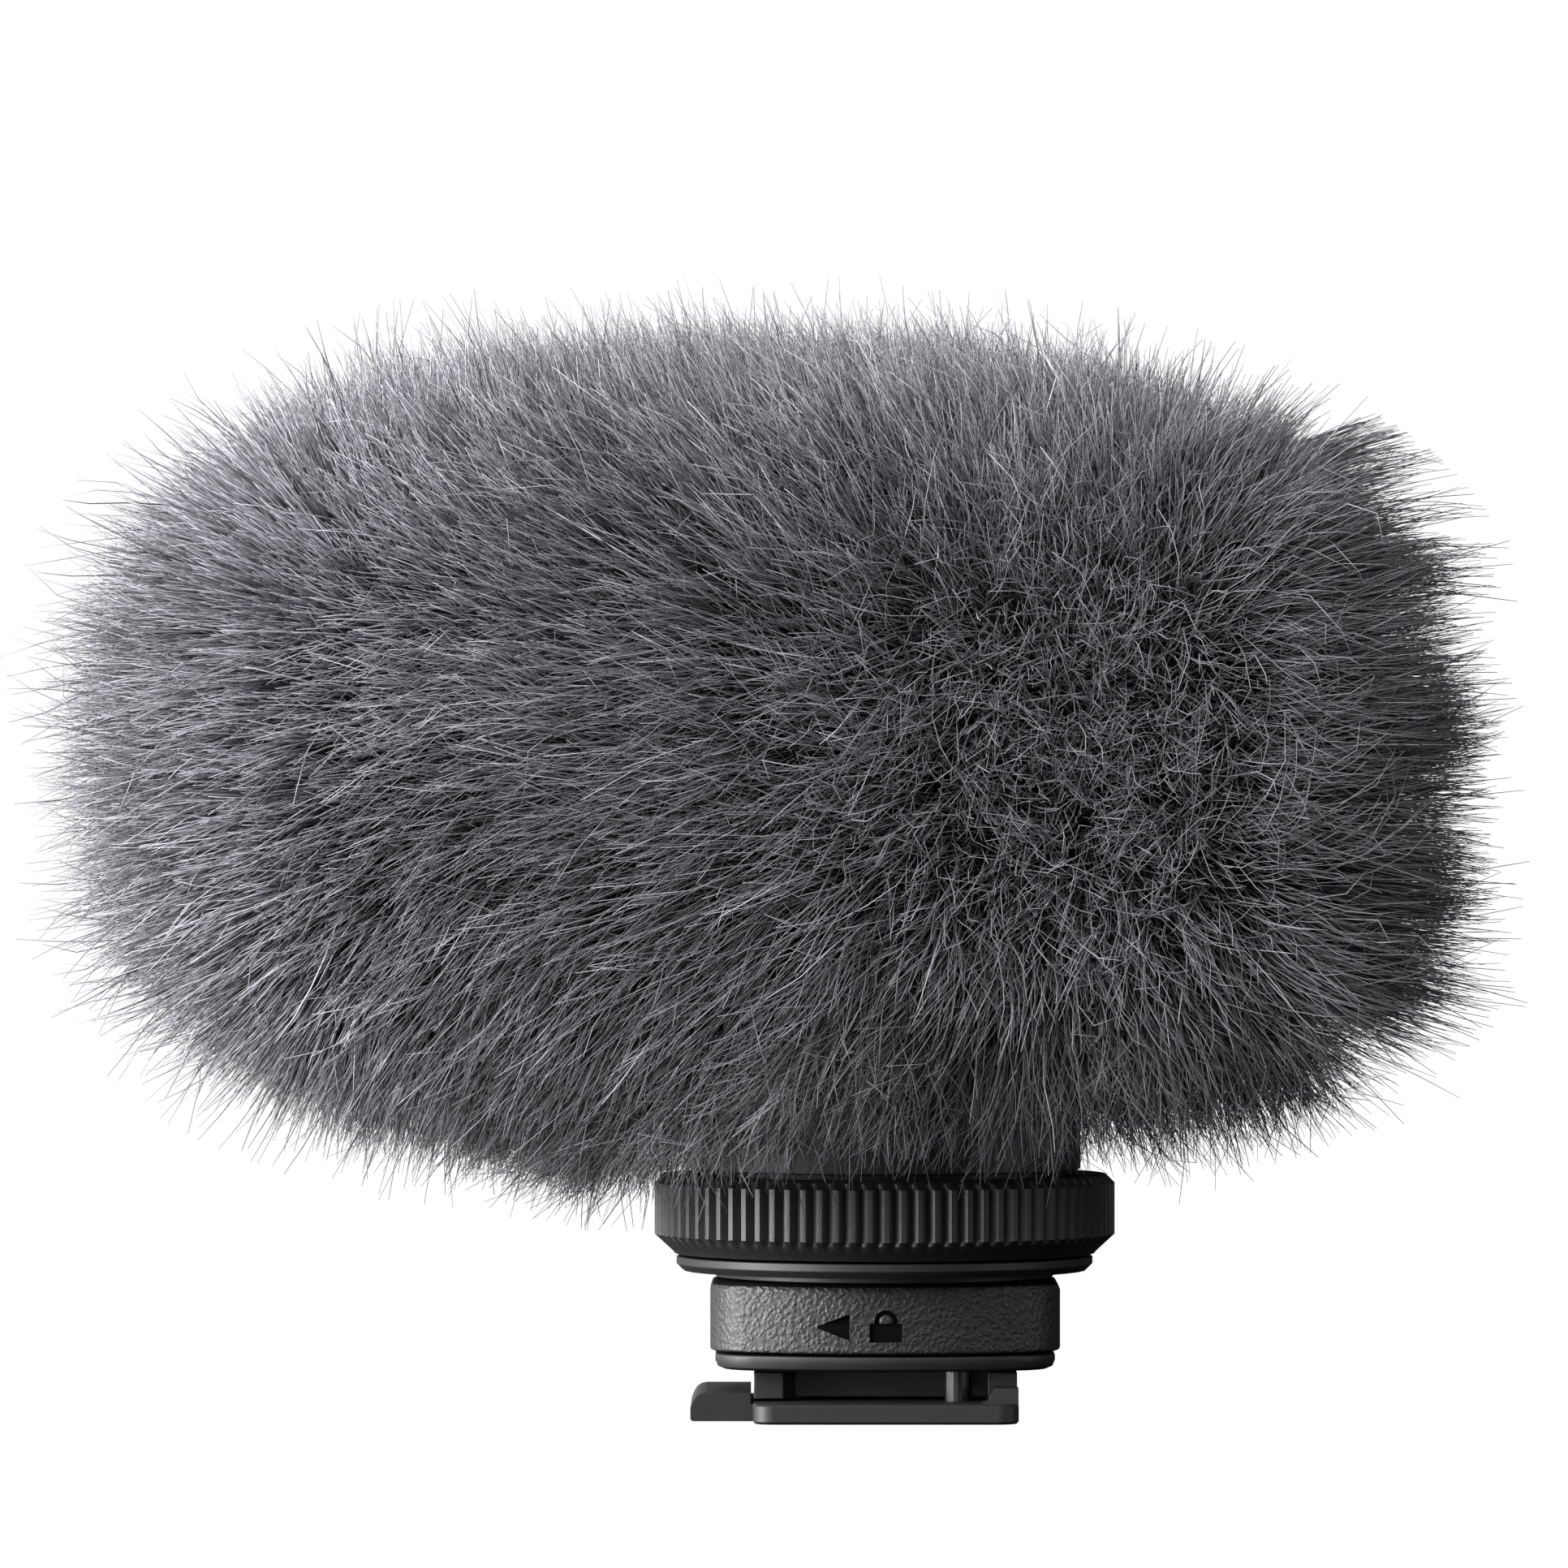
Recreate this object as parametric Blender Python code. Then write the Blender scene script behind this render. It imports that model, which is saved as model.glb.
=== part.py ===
"""Furry windscreen on a compact shoe-mount microphone.

Frame: +Z up, origin on the underside of the shoe foot at its centre. The
microphone looks along -X, its rear panel faces +X, and the engraved face of
the mount collar faces -Y. Lengths below are millimetres; MM turns them into
the metres that the scene is built in.
"""
import math

import bmesh
import bpy
from mathutils import Vector

MM = 0.001

# ---- driving dimensions (mm) -------------------------------------------------
FIT = 0.15                      # seam between two fixed neighbours
RUN = 0.3                       # air round a piece that moves

AXIS_Z = 39.0                   # height of the microphone's long axis
BODY_HALF_W = 14.0              # microphone body, half width (Y)
BODY_HALF_H = 13.5              # microphone body, half height (Z)
BODY_CORNER = 8.0               # corner radius of the body section
BODY_FRONT = -37.2
BODY_SPLIT = -12.8              # grille ahead of this plane, housing behind
BODY_REAR = 24.4
DOME_LENGTH = 7.5               # front stretch that rounds over
WALL = 1.3

PILE_CENTRE_X = -6.6            # dense fur body, a superellipsoid
PILE_HALF_L = 40.4
PILE_HALF_W = 23.6
PILE_HALF_H = 23.3
PILE_EXP_LENGTH = 2.7
PILE_EXP_SECTION = 2.4
LINER_GAP, LINER_OUT = 0.35, 2.35
BACKING_GAP, BACKING_OUT = 2.55, 3.25
PILE_GAP = 3.5
COVER_FRONT_GAP = 0.4           # liner to grille at the front
COVER_REAR = 19.6               # rear edge of the liner and backing
HEM_REAR = 22.2
SLOT_HALF_W = 12.3              # slot that lets the stem through the fur
SLOT_HALF_FABRIC = 13.7         # the same slot in the fabric layers
SLOT_LOW = 5.0                  # the slot's cutters: low end, then their tops
SLOT_TOP, SLOT_TOP_FABRIC = 31.0, 31.5
EXIT_GAP = 0.6                  # pile round the body behind the hem
HEM_GROW = 1.9                  # middle of the hem, outside the body
HEM_SIZE, HEM_CHANNEL, ELASTIC_SIZE = (1.2, 1.3), (0.75, 0.85), (0.55, 0.6)
TAPE_SIZE, TAPE_GAP = (0.8, 0.55), 0.75
TAPE_STEP, TAPE_STEPS = 3.0, 8  # stations along the straight sides of the slot
BEYOND = 60.0                   # cutters that leave the object end here

CAGE_WALL = 0.9
SCREEN = (-1.4, -1.05)          # inner and outer face of the mesh, in the cage
GRILLE_SLOTS, GRILLE_FIRST_X, GRILLE_PITCH = 6, -28.4, 2.4
GRILLE_SLOT_HALF, GRILLE_SLOT_REACH = 0.65, 6.5
FRONT_SLOT_PITCH, FRONT_SLOT_REACH = 3.0, 6.0
FRONT_SLOT_X = (-45.0, -30.5)
CUT_REACH = 30.0

STEM_R, STEM_BORE_R = 11.5, 8.6
SPIGOT_R = 10.4
STEM_FLOOR = (12.7, 14.2)       # floor of the stem's cup, low and high Z
STEM_TOP, SADDLE_REACH = 30.0, 20.0
STEM_SCREW_CIRCLE, STEM_SCREW_DEGREES = 4.1, (10.0, 130.0, 250.0)
STEM_SCREW_R, STEM_SCREW_HOLE_R, STEM_SCREW_HEAD_R = 0.55, 0.72, 1.0
STEM_SCREW_LOW = 10.5
RING_R, RING_BORE_R = 13.5, 10.8
RING_Z = (9.55, 14.2)
RING_TOP_CHAMFER = 0.5
RING_LOW_CHAMFER = (1.25, 1.15)  # inwards, upwards
RING_RIDGES = 86
RING_GROOVE = 0.36
FLANGE_R, FLANGE_Z, FLANGE_CHAMFER = 12.2, (8.55, 9.4), 0.4
NECK_R, NECK_Z = 9.9, 8.2
BOSS_R, BOSS_TOP = 5.2, 12.5
CABLE_BORE_R = 3.0
CAM_R = (5.5, 10.4)
CAM_TOP, CAM_LOW = 12.4, 11.2
CAM_STEPS, CAM_DWELL, CAM_RETURN = 48, 20.0, 40.0   # stations, then degrees

COLLAR_HALF_L, COLLAR_HALF_W = 10.2, 9.3
COLLAR_BOW, COLLAR_FILLET = 16.9, 3.9
COLLAR_Z, COLLAR_ROUNDS = (4.05, 8.05), (0.2, 0.45)
PLATE_HALF_L, PLATE_HALF_W = 9.9, 9.0
PLATE_BOW, PLATE_FILLET = 19.0, 3.7
PLATE_Z, PLATE_ROUNDS = (3.0, 3.9), (0.5, 0.12)
FOOT_HALF_L, FOOT_HALF_W = 7.7, 9.3   # ISO 518 size foot: 18.6 mm wide
FOOT_T, FOOT_CORNER, FOOT_EDGE = 1.16, 1.2, 0.12
STOP_TOP, STOP_LENGTH, STOP_Y = 2.05, 1.6, (6.2, 8.4)
TONGUE_FRONT, TONGUE_HALF_W, TONGUE_T = -11.35, 5.7, 1.67
TONGUE_NOSE_R, TONGUE_STEP_X, TONGUE_ROOT_X = 0.8, -7.85, -6.5
FOOT_NECK_HALF_W, FOOT_NECK_WAIST = 5.9, 4.0
FOOT_NECK_PILLAR_X, FOOT_NECK_SLANT = 5.95, 0.7
PIN_X, PIN_Y, PIN_R, PIN_TRAVEL = 4.2, -5.0, 0.8, 1.2
PIN_HEAD_Z, PIN_HEAD_R, PIN_WELL_R = (10.35, 11.1), 1.1, 1.75
SPRING_SEAT, SPRING_END_GAP = 5.0, 0.25
FOOT_SCREWS = ((-5.4, -2.2), (-5.4, 2.2), (5.4, -2.2), (5.4, 2.2))
FOOT_SCREW_HOLE_R, FOOT_SCREW_WELL = 0.85, (1.55, 0.95)
CONTACTS, CONTACT_PITCH = 6, 1.45
CONTACT_POCKET = ((-10.8, -4.8, -1.0), (-8.0, 4.8, 0.95))
CONTACT_BLOCK = ((-10.65, -4.65, 0.25), (-8.15, 4.65, 0.8))
LOCK_DEG = 60.0

PANEL_X = (BODY_REAR - 1.5, BODY_REAR - 0.3)
DIAL_Z, DIAL_R, DIAL_RIM_R, DIAL_DISH_R = 43.8, 5.2, 4.7, 2.6
DIAL_T, DIAL_RIBS, DIAL_RIB_DEPTH = 3.4, 36, 0.07
SHAFT_R, SHAFT_HOLE_R, SHAFT_X = 1.5, 1.9, 22.9
SWITCHES = (("gain_switch", 34.4), ("filter_switch", 29.8))
SWITCH_TRAVEL = 1.5
SWITCH_HALF_W, SWITCH_HALF_H, SWITCH_WINDOW_HALF_H = 1.5, 1.0, 1.3
SWITCH_BODY = ((20.9, -3.8, -1.6), (22.6, 3.8, 1.6))    # Z about the knob
SCREW_X = (15.5, 21.5)          # housing screws on the underside
SCREW_Y = 4.6
SCREW_HOLE_R, CABLE_HOLE_R, HOUSING_CUT_Z = 1.15, 4.5, (22.0, 30.0)

MAIN_BOARD = ((-11.0, -11.3, 35.4), (18.5, 11.3, 36.6))
REAR_BOARD = ((19.5, -10.8, 29.5), (20.7, 10.8, 48.5))
SHIELD_CAN = ((-7.0, -7.0, 36.9), (7.0, 7.0, 39.2))
CAN_INSIDE = ((-6.7, -6.7, 36.0), (6.7, 6.7, 38.9))
ENCODER = ((20.9, -4.0, DIAL_Z - 4.0), (22.7, 4.0, DIAL_Z + 4.0))
CHASSIS = ((-32.5, -8.6, 33.0), (-14.8, 8.6, 37.0))
CAPSULE_X, CAPSULE_Y, CAPSULE_R, CAPSULE_H = (-28.0, -19.5), 4.3, 3.0, 2.6
POCKET_FLOOR, POCKET_GAP = 2.4, 0.2
ISOLATOR_X, ISOLATOR_Y = (-30.8, -16.5), 6.8
ISOLATOR = ((1.4, 28.2), (1.0, 29.6), (1.0, 31.3), (1.4, 32.7))   # radius, Z
RIBBON_ROUTE = ((0.0, 34.9), (0.0, 31.0), (1.2, 27.0), (1.2, 19.0), (0.0, 14.0), (0.0, 1.5))
RIBBON_HALF_T, RIBBON_HALF_W = 0.13, 2.3

ROUND = 40                      # sides of a large round piece
SMALL = 12                      # sides of a small round piece


# ---- scene and materials -----------------------------------------------------
def clear_scene():
    for old in list(bpy.data.objects):
        bpy.data.objects.remove(old, do_unlink=True)


def material(name, colour, roughness, metallic=0.0):
    made = bpy.data.materials.get(name)
    if made:
        return made
    made = bpy.data.materials.new(name)
    made.use_nodes = True
    shader = made.node_tree.nodes["Principled BSDF"]
    shader.inputs["Base Color"].default_value = (*colour, 1.0)
    shader.inputs["Roughness"].default_value = roughness
    shader.inputs["Metallic"].default_value = metallic
    made.diffuse_color = (*colour, 1.0)
    return made


PALETTE = {
    "fur": ((0.075, 0.073, 0.078), 0.8, 0.0),
    "backing": ((0.02, 0.02, 0.021), 0.9, 0.0),
    "spacer": ((0.03, 0.03, 0.032), 0.95, 0.0),
    "binding": ((0.015, 0.015, 0.016), 0.75, 0.0),
    "elastic": ((0.03, 0.03, 0.03), 0.7, 0.0),
    "black_plastic": ((0.022, 0.022, 0.023), 0.5, 0.0),
    "grained_plastic": ((0.024, 0.024, 0.025), 0.45, 0.0),
    "grille_paint": ((0.025, 0.025, 0.027), 0.45, 0.2),
    "mesh_steel": ((0.12, 0.12, 0.12), 0.5, 0.8),
    "steel": ((0.5, 0.5, 0.5), 0.35, 1.0),
    "dark_steel": ((0.06, 0.06, 0.06), 0.4, 0.9),
    "board": ((0.01, 0.08, 0.04), 0.5, 0.0),
    "rubber": ((0.02, 0.02, 0.02), 0.9, 0.0),
    "contact_gold": ((0.8, 0.58, 0.25), 0.3, 1.0),
    "film": ((0.35, 0.17, 0.04), 0.45, 0.0),
}


def finish(name, bm, slot, pivot=(0.0, 0.0, 0.0)):
    """Turn a bmesh in mm into a named object in metres with its origin at pivot."""
    bmesh.ops.recalc_face_normals(bm, faces=bm.faces)
    centre = Vector(pivot)
    for vert in bm.verts:
        vert.co = (vert.co - centre) * MM
    mesh = bpy.data.meshes.new(name)
    bm.to_mesh(mesh)
    bm.free()
    mesh.shade_smooth()
    mesh.set_sharp_from_angle(angle=math.radians(35))
    obj = bpy.data.objects.new(name, mesh)
    obj.location = centre * MM
    bpy.context.collection.objects.link(obj)
    if slot:
        mesh.materials.append(material(slot, *PALETTE[slot]))
    return obj


def cutter(name, bm):
    obj = finish(name, bm, None)
    obj.hide_render = True
    obj.display_type = "WIRE"
    return obj


def boolean(obj, tool, operation="DIFFERENCE"):
    modifier = obj.modifiers.new(tool.name, "BOOLEAN")
    modifier.operation = operation
    modifier.solver = "EXACT"
    modifier.object = tool


# ---- shape makers ------------------------------------------------------------
def skin(rings, closed=False, bm=None):
    """Join rings of points with quads. closed joins the last ring to the first;
    otherwise both end rings are capped."""
    bm = bm or bmesh.new()
    rows = [[bm.verts.new(point) for point in ring] for ring in rings]
    pairs = list(zip(rows, rows[1:]))
    if closed:
        pairs.append((rows[-1], rows[0]))
    for low, high in pairs:
        count = len(low)
        for i in range(count):
            j = (i + 1) % count
            bm.faces.new((low[i], low[j], high[j], high[i]))
    if not closed:
        bm.faces.new(rows[0][::-1])
        bm.faces.new(rows[-1])
    return bm


def circle(x, y, z, radius, sides=ROUND, axis="Z"):
    points = []
    for i in range(sides):
        angle = 2 * math.pi * i / sides
        a, b = radius * math.cos(angle), radius * math.sin(angle)
        if axis == "Z":
            points.append(Vector((x + a, y + b, z)))
        else:
            points.append(Vector((x, y + a, z + b)))
    return points


def turned(profile, x=0.0, y=0.0, sides=ROUND, bored=False, bm=None):
    """Stack circles (radius, z) about a vertical axis. A bored piece has a
    profile that closes on itself."""
    rings = [circle(x, y, z, radius, sides) for radius, z in profile]
    return skin(rings, closed=bored, bm=bm)


def turned_set(name, profile, places, sides, slot):
    """One numbered object of the same turned shape at each (x, y) place."""
    for number, (x, y) in enumerate(places, start=1):
        finish(f"{name}_{number}", turned(profile, x, y, sides), slot)


def grid(xs, ys):
    return [(x, y) for x in xs for y in ys]


def turned_x(profile, y, z, sides=ROUND, bm=None):
    rings = [circle(x, y, z, radius, sides, axis="X") for radius, x in profile]
    return skin(rings, bm=bm)


def box(low, high, bm=None):
    (x0, y0, z0), (x1, y1, z1) = low, high
    plan = ((x0, y0), (x1, y0), (x1, y1), (x0, y1))
    return skin([[Vector((x, y, z)) for x, y in plan] for z in (z0, z1)], bm=bm)


def prism(outline, z0, z1, bm=None):
    """Extrude an XY outline between two heights."""
    return skin([[Vector((x, y, z)) for x, y in outline] for z in (z0, z1)], bm=bm)


def section(grow, steps=5, shrink=1.0):
    """Rounded-rectangle body section grown by `grow`, as (y, z) about the axis.
    It starts on the +Y side at mid height, which both halves of the housing
    share."""
    half_w = (BODY_HALF_W + grow) * shrink
    half_h = (BODY_HALF_H + grow) * shrink
    radius = (BODY_CORNER + grow) * shrink
    points = []
    for quarter, (sy, sz) in enumerate(((1, 1), (-1, 1), (-1, -1), (1, -1))):
        if quarter % 2 == 0:
            points.append((sy * half_w, 0.0))
        for i in range(steps + 1):
            angle = (quarter + i / steps) * math.pi / 2
            y = sy * (half_w - radius) + radius * math.cos(angle)
            z = sz * (half_h - radius) + radius * math.sin(angle)
            points.append((y, z))
    return points


def section_ring(x, grow, steps=5, shrink=1.0):
    return [Vector((x, y, AXIS_Z + z)) for y, z in section(grow, steps, shrink)]


def dome_stations(front, length, count):
    """(x, shrink) from the full section back at front + length to the tip."""
    stations = []
    for i in range(count + 1):
        t = math.sin(i / count * math.pi / 2 * 0.94)
        shrink = (1 - t ** 2.4) ** (1 / 2.4)
        stations.append((front + length * (1 - t), shrink))
    return stations


def domed_rings(front, rear, grow, dome=DOME_LENGTH, count=4, steps=5):
    """Body-shaped rings from the rear edge to the rounded front tip."""
    rings = [section_ring(rear, grow, steps)]
    for x, shrink in dome_stations(front, dome, count):
        rings.append(section_ring(x, grow, steps, shrink))
    return rings


def domed_shell(front, rear, inner, outer, dome=DOME_LENGTH, count=4, steps=5):
    """Cap-shaped shell, open at the rear edge, between two growths of the body."""
    thickness = outer - inner
    outside = domed_rings(front, rear, outer, dome + outer, count, steps)
    inside = domed_rings(front + thickness, rear, inner, dome + inner, count, steps)
    return skin(inside[::-1] + outside)


def bowed_outline(half_l, half_w, bow, fillet, inset=0.0, steps=4, bow_steps=6):
    """Plan of the mount collar: bowed front and back, straight sides, filleted
    corners, moved inwards by `inset`."""
    half_l, half_w = half_l - inset, half_w - inset
    bow, fillet = bow - inset, max(fillet - inset, 0.2)
    centre_y = half_w - bow
    fillet_x = half_l - fillet
    fillet_y = centre_y + math.sqrt((bow - fillet) ** 2 - fillet_x ** 2)
    meet = math.atan2(fillet_y - centre_y, fillet_x)
    corner = []
    for i in range(steps + 1):
        angle = meet * i / steps
        corner.append((fillet_x + fillet * math.cos(angle),
                       fillet_y + fillet * math.sin(angle)))
    arc = []
    for i in range(1, bow_steps):
        angle = meet + (math.pi - 2 * meet) * i / bow_steps
        arc.append((bow * math.cos(angle), centre_y + bow * math.sin(angle)))
    back = corner + arc + [(-x, y) for x, y in reversed(corner)]
    return back + [(x, -y) for x, y in reversed(back)]


def bowed_block(z0, z1, low_round, high_round, size, arc=2):
    """Bowed plan raised into a block with rounded lower and upper edges."""
    levels = []
    for i in range(arc + 1):
        angle = math.pi / 2 * i / arc
        levels.append((low_round * (1 - math.sin(angle)),
                       z0 + low_round * (1 - math.cos(angle))))
    for i in range(arc + 1):
        angle = math.pi / 2 * i / arc
        levels.append((high_round * (1 - math.cos(angle)),
                       z1 - high_round * (1 - math.sin(angle))))
    return skin([[Vector((x, y, z)) for x, y in bowed_outline(*size, inset=inset)]
                 for inset, z in levels])


def swept(path, half_wide, half_high, sides=6, closed=False):
    """Sweep an oval section along a path. The section stays square to the path
    and keeps one axis in the plane of the path's local bend."""
    rings = []
    count = len(path)
    for i, point in enumerate(path):
        before = path[(i - 1) % count] if closed or i else point
        after = path[(i + 1) % count] if closed or i < count - 1 else point
        along = (after - before).normalized()
        outward = point - Vector((point.x, 0.0, AXIS_Z))
        side = (outward - along * outward.dot(along)).normalized()
        up = along.cross(side)
        ring = []
        for k in range(sides):
            angle = 2 * math.pi * k / sides
            ring.append(point + side * half_wide * math.cos(angle)
                        + up * half_high * math.sin(angle))
        rings.append(ring)
    return skin(rings, closed=closed)


# ---- the fabric cover --------------------------------------------------------
def slot_cutter(name, half_w, top):
    """Stem slot: round at the front, straight back past the rear rim."""
    outline = [(BEYOND, -half_w), (BEYOND, half_w)]
    for i in range(25):
        angle = math.pi / 2 + math.pi * i / 24
        outline.append((half_w * math.cos(angle), half_w * math.sin(angle)))
    return cutter(name, prism(outline, SLOT_LOW, top))


def pile_outside(rings=22, sides=32):
    rows = []
    for i in range(1, rings):
        u = -math.cos(math.pi * i / rings)
        shrink = (1 - abs(u) ** PILE_EXP_LENGTH) ** (1 / PILE_EXP_LENGTH)
        ring = []
        for k in range(sides):
            angle = 2 * math.pi * k / sides
            c, s = math.cos(angle), math.sin(angle)
            power = 2 / PILE_EXP_SECTION
            y = math.copysign(abs(c) ** power, c) * PILE_HALF_W * shrink
            z = math.copysign(abs(s) ** power, s) * PILE_HALF_H * shrink
            ring.append(Vector((PILE_CENTRE_X + u * PILE_HALF_L, y, AXIS_Z + z)))
        rows.append(ring)
    return skin(rows)


def pile_cavity():
    """Room for the fabric layers, stepping in behind the hem to the body's own
    section, which the microphone leaves through."""
    front = BODY_FRONT - COVER_FRONT_GAP - PILE_GAP
    rings = domed_rings(front, HEM_REAR + RUN, PILE_GAP, DOME_LENGTH + PILE_GAP)
    rear = [section_ring(x, EXIT_GAP) for x in (BEYOND, HEM_REAR + RUN)]
    return skin(rear + rings)


def make_fur_pile():
    pile = finish("fur_pile", pile_outside(), "fur")
    boolean(pile, cutter("cut_pile_cavity", pile_cavity()))
    boolean(pile, slot_cutter("cut_pile_slot", SLOT_HALF_W, SLOT_TOP))


def make_fabric_layers():
    slot = slot_cutter("cut_fabric_slot", SLOT_HALF_FABRIC, SLOT_TOP_FABRIC)
    layers = (("backing_fabric", BACKING_GAP, BACKING_OUT, "backing"),
              ("spacer_liner", LINER_GAP, LINER_OUT, "spacer"))
    for name, inner, outer, slot_name in layers:
        front = BODY_FRONT - COVER_FRONT_GAP - outer
        shell = domed_shell(front, COVER_REAR, inner, outer)
        boolean(finish(name, shell, slot_name), slot)


def rim_path(x, grow, steps=5):
    """Path round the rear rim from one side of the slot to the other."""
    kept = [(y, z) for y, z in section(grow, steps)
            if z >= 0 or abs(y) >= SLOT_HALF_FABRIC + 0.1]
    start = [(y, z) for y, z in kept if y > 0 > z]
    rest = [point for point in kept if point not in start]
    return [Vector((x, y, AXIS_Z + z)) for y, z in start + rest]


def make_rear_hem():
    """Bound elastic edge at the rear rim: a casing with the elastic inside."""
    path = rim_path((HEM_REAR + COVER_REAR + FIT) / 2, HEM_GROW)
    hem = finish("rear_hem", swept(path, *HEM_SIZE, sides=8), "binding")
    longer = [path[0] + (path[0] - path[1])] + path + [path[-1] + (path[-1] - path[-2])]
    boolean(hem, cutter("cut_hem_channel", swept(longer, *HEM_CHANNEL, sides=6)))
    finish("hem_elastic", swept(path, *ELASTIC_SIZE, sides=5), "elastic")


def make_slot_binding():
    """Tape bound round the slot's edge, following the fabric's curve."""
    reach = SLOT_HALF_W + TAPE_GAP
    mid = (LINER_GAP + BACKING_OUT) / 2
    side = [COVER_REAR - TAPE_STEP * i for i in range(TAPE_STEPS)]
    plan = [(x, -reach) for x in side]
    for i in range(17):
        angle = -math.pi / 2 - math.pi * i / 16
        plan.append((reach * math.cos(angle), reach * math.sin(angle)))
    plan += [(x, reach) for x in reversed(side)]
    radius = BODY_CORNER + mid
    flat = BODY_HALF_W - BODY_CORNER
    path = []
    for x, y in plan:
        over = max(0.0, abs(y) - flat)
        rise = radius - math.sqrt(radius ** 2 - over ** 2)
        path.append(Vector((x, y, AXIS_Z - BODY_HALF_H - mid + rise)))
    finish("slot_binding", swept(path, *TAPE_SIZE, sides=6), "binding")


# ---- the microphone ----------------------------------------------------------
def comb(positions, half_width, low, high, bm):
    """Row of slot-cutting slabs, thin along X."""
    for x in positions:
        box((x - half_width, low[0], low[1]), (x + half_width, high[0], high[1]), bm)


def make_grille():
    """Slotted cage: upright slots on both sides, crosswise ones above and below
    and five in the rounded front."""
    shell = domed_shell(BODY_FRONT, BODY_SPLIT - FIT, -CAGE_WALL, 0.0)
    grille = finish("grille", shell, "grille_paint")
    places = [GRILLE_FIRST_X + GRILLE_PITCH * i for i in range(GRILLE_SLOTS)]
    half, reach = GRILLE_SLOT_HALF, GRILLE_SLOT_REACH
    side = bmesh.new()
    comb(places, half, (-CUT_REACH, AXIS_Z - reach), (CUT_REACH, AXIS_Z + reach), side)
    boolean(grille, cutter("cut_side_slots", side))
    top = bmesh.new()
    comb(places, half, (-reach, AXIS_Z - CUT_REACH), (reach, AXIS_Z + CUT_REACH), top)
    boolean(grille, cutter("cut_top_slots", top))
    front = bmesh.new()
    x0, x1 = FRONT_SLOT_X
    for i in range(-2, 3):
        y = i * FRONT_SLOT_PITCH
        box((x0, y - half, AXIS_Z - FRONT_SLOT_REACH), (x1, y + half, AXIS_Z + FRONT_SLOT_REACH),
            front)
    boolean(grille, cutter("cut_front_slots", front))


def make_mesh_screen():
    front = BODY_FRONT + CAGE_WALL + FIT
    finish("mesh_screen", domed_shell(front, BODY_SPLIT - FIT, *SCREEN), "mesh_steel")


def half_shell(upper, x0, x1):
    """C-shaped half of the housing tube, split on the axis plane."""
    keep = 1 if upper else -1
    gap = FIT / 2
    outer = [p for p in section(0.0) if p[1] * keep > -1e-6]
    inner = [p for p in section(-WALL) if p[1] * keep > -1e-6]
    for half in (outer, inner):
        half.sort(key=lambda p: math.atan2(abs(p[1]), p[0]))
    outline = outer + inner[::-1]
    rings = []
    for x in (x0, x1):
        ring = []
        for y, z in outline:
            lifted = z if abs(z) > gap else keep * gap
            ring.append(Vector((x, y, AXIS_Z + lifted)))
        rings.append(ring)
    return skin(rings)


def make_housing():
    finish("housing_top", half_shell(True, BODY_SPLIT, BODY_REAR), "black_plastic")
    lower = finish("housing_bottom", half_shell(False, BODY_SPLIT, BODY_REAR),
                   "black_plastic")
    low, high = HOUSING_CUT_Z
    holes = turned([(CABLE_HOLE_R, low), (CABLE_HOLE_R, high)], sides=24)
    for x, y in grid(SCREW_X, (-SCREW_Y, SCREW_Y)):
        turned([(SCREW_HOLE_R, low), (SCREW_HOLE_R, high)], x, y, SMALL, bm=holes)
    boolean(lower, cutter("cut_housing_holes", holes))


def make_housing_screws():
    low = AXIS_Z - BODY_HALF_H
    profile = [(0.6, low + 0.2), (0.95, low + 0.35), (0.95, low + 0.95),
               (0.5, low + 1.1), (0.5, low + 6.0)]
    places = grid(SCREW_X, (-SCREW_Y, SCREW_Y))
    turned_set("housing_screw", profile, places, SMALL, "dark_steel")


def make_rear_panel():
    panel = finish("rear_panel", skin([section_ring(x, -WALL - FIT) for x in PANEL_X]),
                   "black_plastic")
    x0, x1 = PANEL_X[0] - 3.0, PANEL_X[1] + 3.0
    holes = turned_x([(SHAFT_HOLE_R, x0), (SHAFT_HOLE_R, x1)], 0.0, DIAL_Z, 20)
    reach, half = SWITCH_HALF_W + SWITCH_TRAVEL + RUN, SWITCH_WINDOW_HALF_H
    for _, z in SWITCHES:
        box((x0, -reach, z - half), (x1, reach, z + half), holes)
    boolean(panel, cutter("cut_panel_holes", holes))


def make_level_dial():
    """Ribbed knob on its shaft, dished, with an index notch at the top."""
    face = BODY_REAR + FIT
    rim, outer = face + 0.4, face + DIAL_T
    rows = []
    for radius, x, ribbed in ((SHAFT_R, SHAFT_X, 0), (SHAFT_R, face, 0), (DIAL_RIM_R, face, 0),
                              (DIAL_R, rim, 1), (DIAL_R, outer - 0.4, 1),
                              (DIAL_RIM_R, outer, 0), (DIAL_DISH_R, outer, 0),
                              (DIAL_DISH_R - 0.3, outer - 0.25, 0)):
        ring = circle(x, 0.0, DIAL_Z, radius, DIAL_RIBS, axis="X")
        for i, point in enumerate(ring):
            if ribbed and i % 2:
                point -= (point - Vector((x, 0.0, DIAL_Z))) * DIAL_RIB_DEPTH
        rows.append(ring)
    dial = finish("level_dial", skin(rows), "black_plastic", (face, 0.0, DIAL_Z))
    notch = box((outer - 0.5, -0.25, DIAL_Z + 2.9), (outer + 0.6, 0.25, DIAL_Z + 4.3))
    boolean(dial, cutter("cut_dial_mark", notch))


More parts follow.
